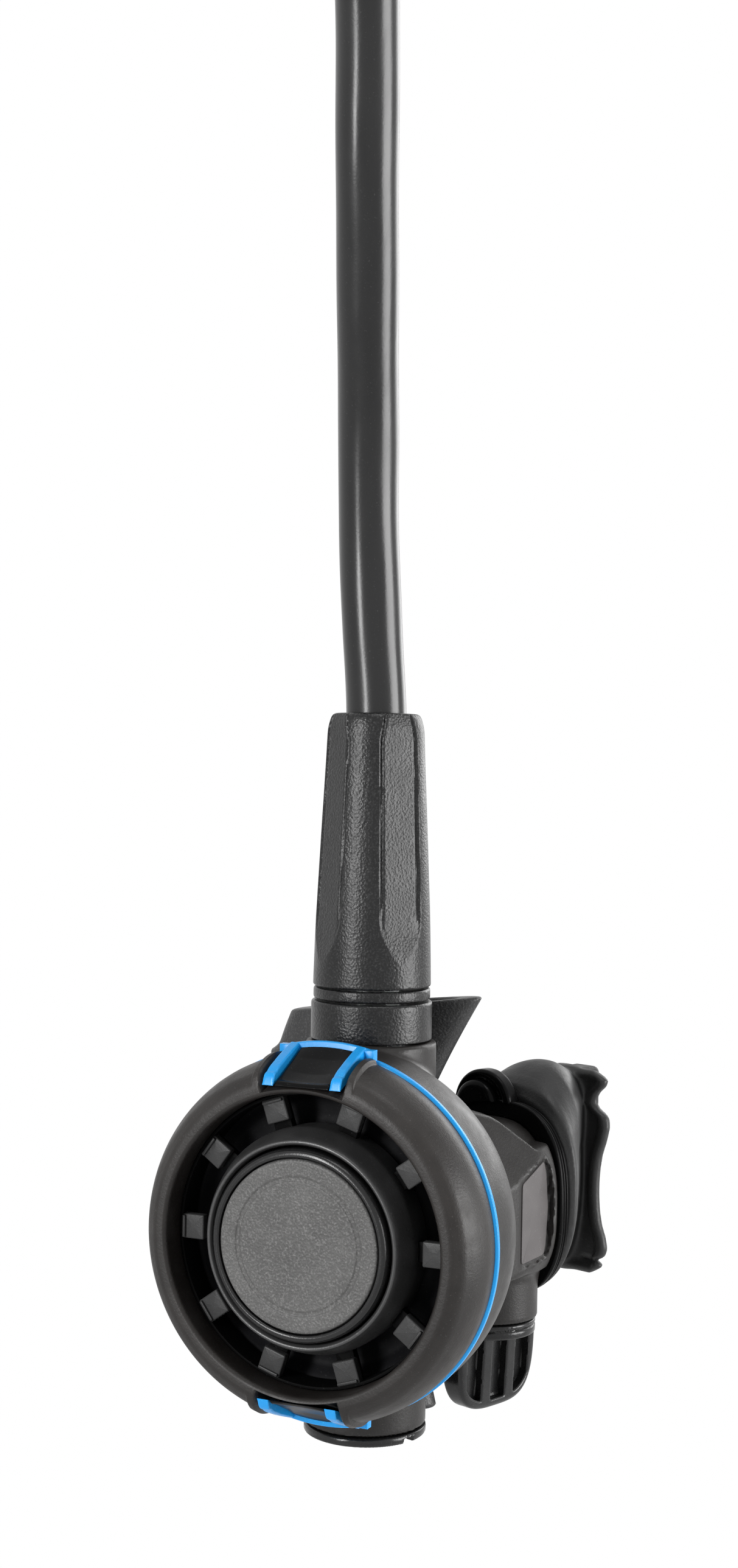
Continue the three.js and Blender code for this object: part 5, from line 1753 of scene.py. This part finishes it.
@dataclass(frozen=True)
class InnerWorks:
    """The pieces inside the case: the ones with smooth turned forms made here, the rest given finishes.

    Attributes:
        disc_radius: radius of the disc in the diaphragm's middle.
    """

    disc_radius: float = 11.8

    def spring(self, radii: tuple[float, float], wire: float, turns: int, low: float, high: float) -> Shell:
        """A coil spring about Z: a round wire carried up a helix, drawn at its pressed length.

        Args:
            radii: the helix's radius at its foot and at its head.
            wire: thickness of the wire.
            turns: number of turns.
            low: height of the foot.
            high: height of the head.

        Returns:
            The spring.
        """
        rise = np.linspace(0, 1, turns * 30 + 1)[:, None]
        turn = rise * turns * 2 * math.pi
        round_wire = round_angles(12)[None]
        reach = radii[0] + (radii[1] - radii[0]) * rise + wire / 2 * np.cos(round_wire)
        height = low + wire / 2 + (high - low - wire) * rise + wire / 2 * np.sin(round_wire)
        return capped(np.stack([reach * np.cos(turn), reach * np.sin(turn), height], -1))

    def diaphragm(self) -> Shell:
        """The diaphragm: a rolled profile carried round the button's axis.

        Returns:
            The diaphragm.
        """
        low, inner = -19.9, self.disc_radius + 0.4
        line = [(inner, low), (inner + 6, low), (inner + 9, low + 2), (inner + 13, low + 2),
                (inner + 15.5, low), (33.4, low)]
        upper = [(r, y + 0.8) for r, y in reversed(line)]
        return lathed(line + upper, (0.1, 1.2, 1.2, 1.0, 1.0, 0.1) * 2, 0.6, "Y", 180)

    def flap(self) -> Shell:
        """The exhaust flap: a thin dished disc with its centre stem, carried round the port's axis.

        Returns:
            The flap.
        """
        face = -22.9
        corners = [(0, face - 1.5), (2, face - 1.5), (3, face - 0.9), (10.2, face - 0.6), (10.2, face),
                   (1.2, face), (1.2, -17.8), (0, -17.8)]
        cuts = (0, 0.3, 0.5, 0.15, 0.15, 0.2, 0.3, 0)
        return lathed(corners, cuts, 0.6, "X", 96, 4, closed=False).moved(0.0, PLAN.port_depth)

    def build(self) -> None:
        """Makes the diaphragm, the flap and the springs, and gives each other inner solid its finish."""
        Fit("clear_silicone", MEMBRANE, "diaphragm").give("works_diaphragm", self.diaphragm())
        flap = Fit("clear_silicone", MEMBRANE, "exhaust_valve", "exhaust_valve")
        flap.give("works_exhaust_flap", self.flap())
        button_spring = self.spring((5.0, 7.2), 0.7, 3, -25.05, -22.65).turned("X", -90)
        Fit("stainless", STEEL, "purge_spring").give("works_purge_spring", button_spring)
        valve_spring = self.spring((3.9, 3.9), 0.9, 6, -26.65, -8.45)
        Fit("stainless", STEEL, "poppet_spring").give("works_poppet_spring", valve_spring)
        finishes = {
            STEEL: ("hose_crimp", "first_stage_crimp", "valve_orifice", "demand_lever", "lever_pin",
                    "flow_vane"),
            CHROME: ("hose_nut", "hose_insert", "valve_barrel", "spring_adjuster", "poppet_lock_nut"),
            BLACK_SATIN: ("poppet", "diaphragm_disc"),
            SEAL: ("hose_insert_seal", "orifice_seal", "poppet_pad", "flow_knob_seal"),
        }
        for finish, nodes in finishes.items():
            for node in nodes:
                solid = bpy.data.objects[node]
                solid.data.materials.clear()
                solid.data.materials.append(finish.build())
                LOG.info("%s: finish %s", node, finish.name)


# ------------------------------------------------------------------ studio


LIT_STRENGTH = 0.22
FLOOR_RADIUS, FLOOR_DROP = 1.05, 0.45


@dataclass(frozen=True)
class Studio:
    """The camera, the soft lights, the white surround and the floor.

    Attributes:
        lens: focal length for a 36 mm high frame, in millimetres.
        yaw: how far the view turns left of +y, in degrees.
        pitch: how far it looks down, in degrees.
        roll: how far it leans, in degrees.
        eye: the camera's place in bench millimetres.
    """

    lens: float = 47.75
    yaw: float = 24.18
    pitch: float = 0.69
    roll: float = 0.95
    eye: Triple = (167.14, -375.29, 90.01)

    def camera(self) -> None:
        """Sets the camera from its yaw, pitch and roll."""
        yaw, pitch, roll = (math.radians(v) for v in (self.yaw, self.pitch, self.roll))
        ahead = Vector((-math.sin(yaw) * math.cos(pitch), math.cos(yaw) * math.cos(pitch), -math.sin(pitch)))
        level = Vector((math.cos(yaw), math.sin(yaw), 0))
        above = level.cross(ahead)
        right = math.cos(roll) * level + math.sin(roll) * above
        up = -math.sin(roll) * level + math.cos(roll) * above
        data = bpy.data.cameras.new("camera")
        data.lens = self.lens
        data.sensor_fit = "VERTICAL"
        data.sensor_height = 36.0
        data.clip_start = 0.01
        camera = bpy.data.objects.new("camera", data)
        camera.matrix_world = Matrix.Translation(Vector(BENCH.world(np.array(self.eye)))) @ Matrix(
            (right, up, -ahead)).transposed().to_4x4()
        bpy.context.collection.objects.link(camera)
        bpy.context.scene.camera = camera

    def lamp(self, name: str, place: Triple, aim: Triple, size: float, power: float, tall: float = 0.0) -> None:
        """Sets a square or tall soft light.

        Args:
            name: the lamp's name.
            place: its place, in metres.
            aim: the place that it faces.
            size: its width, in metres.
            power: its power, in watts.
            tall: its height, in metres, where it isn't square.
        """
        data = bpy.data.lights.new(name, "AREA")
        data.shape = "RECTANGLE"
        data.size, data.size_y = size, tall or size
        data.energy = power
        lamp = bpy.data.objects.new(name, data)
        lamp.location = place
        lamp.rotation_euler = (Vector(aim) - Vector(place)).to_track_quat("-Z", "Y").to_euler()
        bpy.context.collection.objects.link(lamp)

    def surround(self) -> None:
        """Sets a world that is white to the camera and in reflections, and at a plain level for lighting."""
        world = bpy.data.worlds.new("surround")
        bpy.context.scene.world = world
        world.use_nodes = True
        nodes, desk = world.node_tree.nodes, Desk(world.node_tree)
        white = (1, 1, 1, 1)
        desk.wire(nodes["Background"], {"Color": white}, {})
        lit = desk.add("Background", {"Color": white, "Strength": LIT_STRENGTH}).outputs["Background"]
        rays = desk.add("LightPath").outputs
        seen = desk.sum("MAXIMUM", rays["Is Camera Ray"], rays["Is Glossy Ray"])
        seen = desk.sum("MAXIMUM", seen, rays["Is Transmission Ray"])
        mix = desk.add("MixShader", {}, {"Fac": seen, 1: lit, 2: nodes["Background"].outputs["Background"]})
        desk.wire(nodes["World Output"], {}, {"Surface": mix.outputs["Shader"]})

    def floor(self) -> None:
        """Lays a round pale floor well below the hanging part."""
        work = bmesh.new()
        bmesh.ops.create_circle(work, cap_ends=True, segments=96, radius=FLOOR_RADIUS)
        mesh = bpy.data.meshes.new("floor")
        work.to_mesh(mesh)
        work.free()
        mesh.transform(Matrix.Translation((0, 0, CAD_BOX[0][2] - FLOOR_DROP)))
        floor = bpy.data.objects.new("floor", mesh)
        bpy.context.collection.objects.link(floor)
        material = bpy.data.materials.new("floor_paper")
        material.use_nodes = True
        shader = material.node_tree.nodes["Principled BSDF"]
        shader.inputs["Base Color"].default_value = (0.86, 0.86, 0.86, 1)
        shader.inputs["Roughness"].default_value = 0.9
        floor.data.materials.append(material)

    def build(self) -> None:
        """Sets the surround, the floor and the lights."""
        self.surround()
        self.floor()
        body, hose = (0.0, 0.035, -0.28), (0.0, 0.035, -0.2)
        self.lamp("key_front", (-0.38, -1.08, 0.02), body, 0.2, 13.5, 0.85)
        self.lamp("side_right", (1.02, 0.21, -0.2), hose, 0.62, 13.0)
        self.lamp("top_soft", (0.2, -0.1, 0.85), body, 0.4, 3.0)
        self.lamp("rear_soft", (0.3, 1.2, 0.1), body, 0.7, 5.0)


# ------------------------------------------------------------------ making


def main() -> None:
    """Builds the camera and the hose first, then each sub-assembly, and reports the pieces."""
    logging.basicConfig(level=logging.INFO, format="%(message)s")
    studio = Studio()
    studio.camera()
    HoseAssembly().build()
    parts = (ValveTube(), FrontCover(), Grille(), PurgeButton(), RearCase(), MouthEnd(), FlowKnob())
    for part in (*parts, ExhaustDeflector(), InnerWorks(), studio):
        part.build()
    bpy.context.scene.view_settings.view_transform = "Standard"
    bpy.context.view_layer.update()


if __name__ == "__main__":
    main()
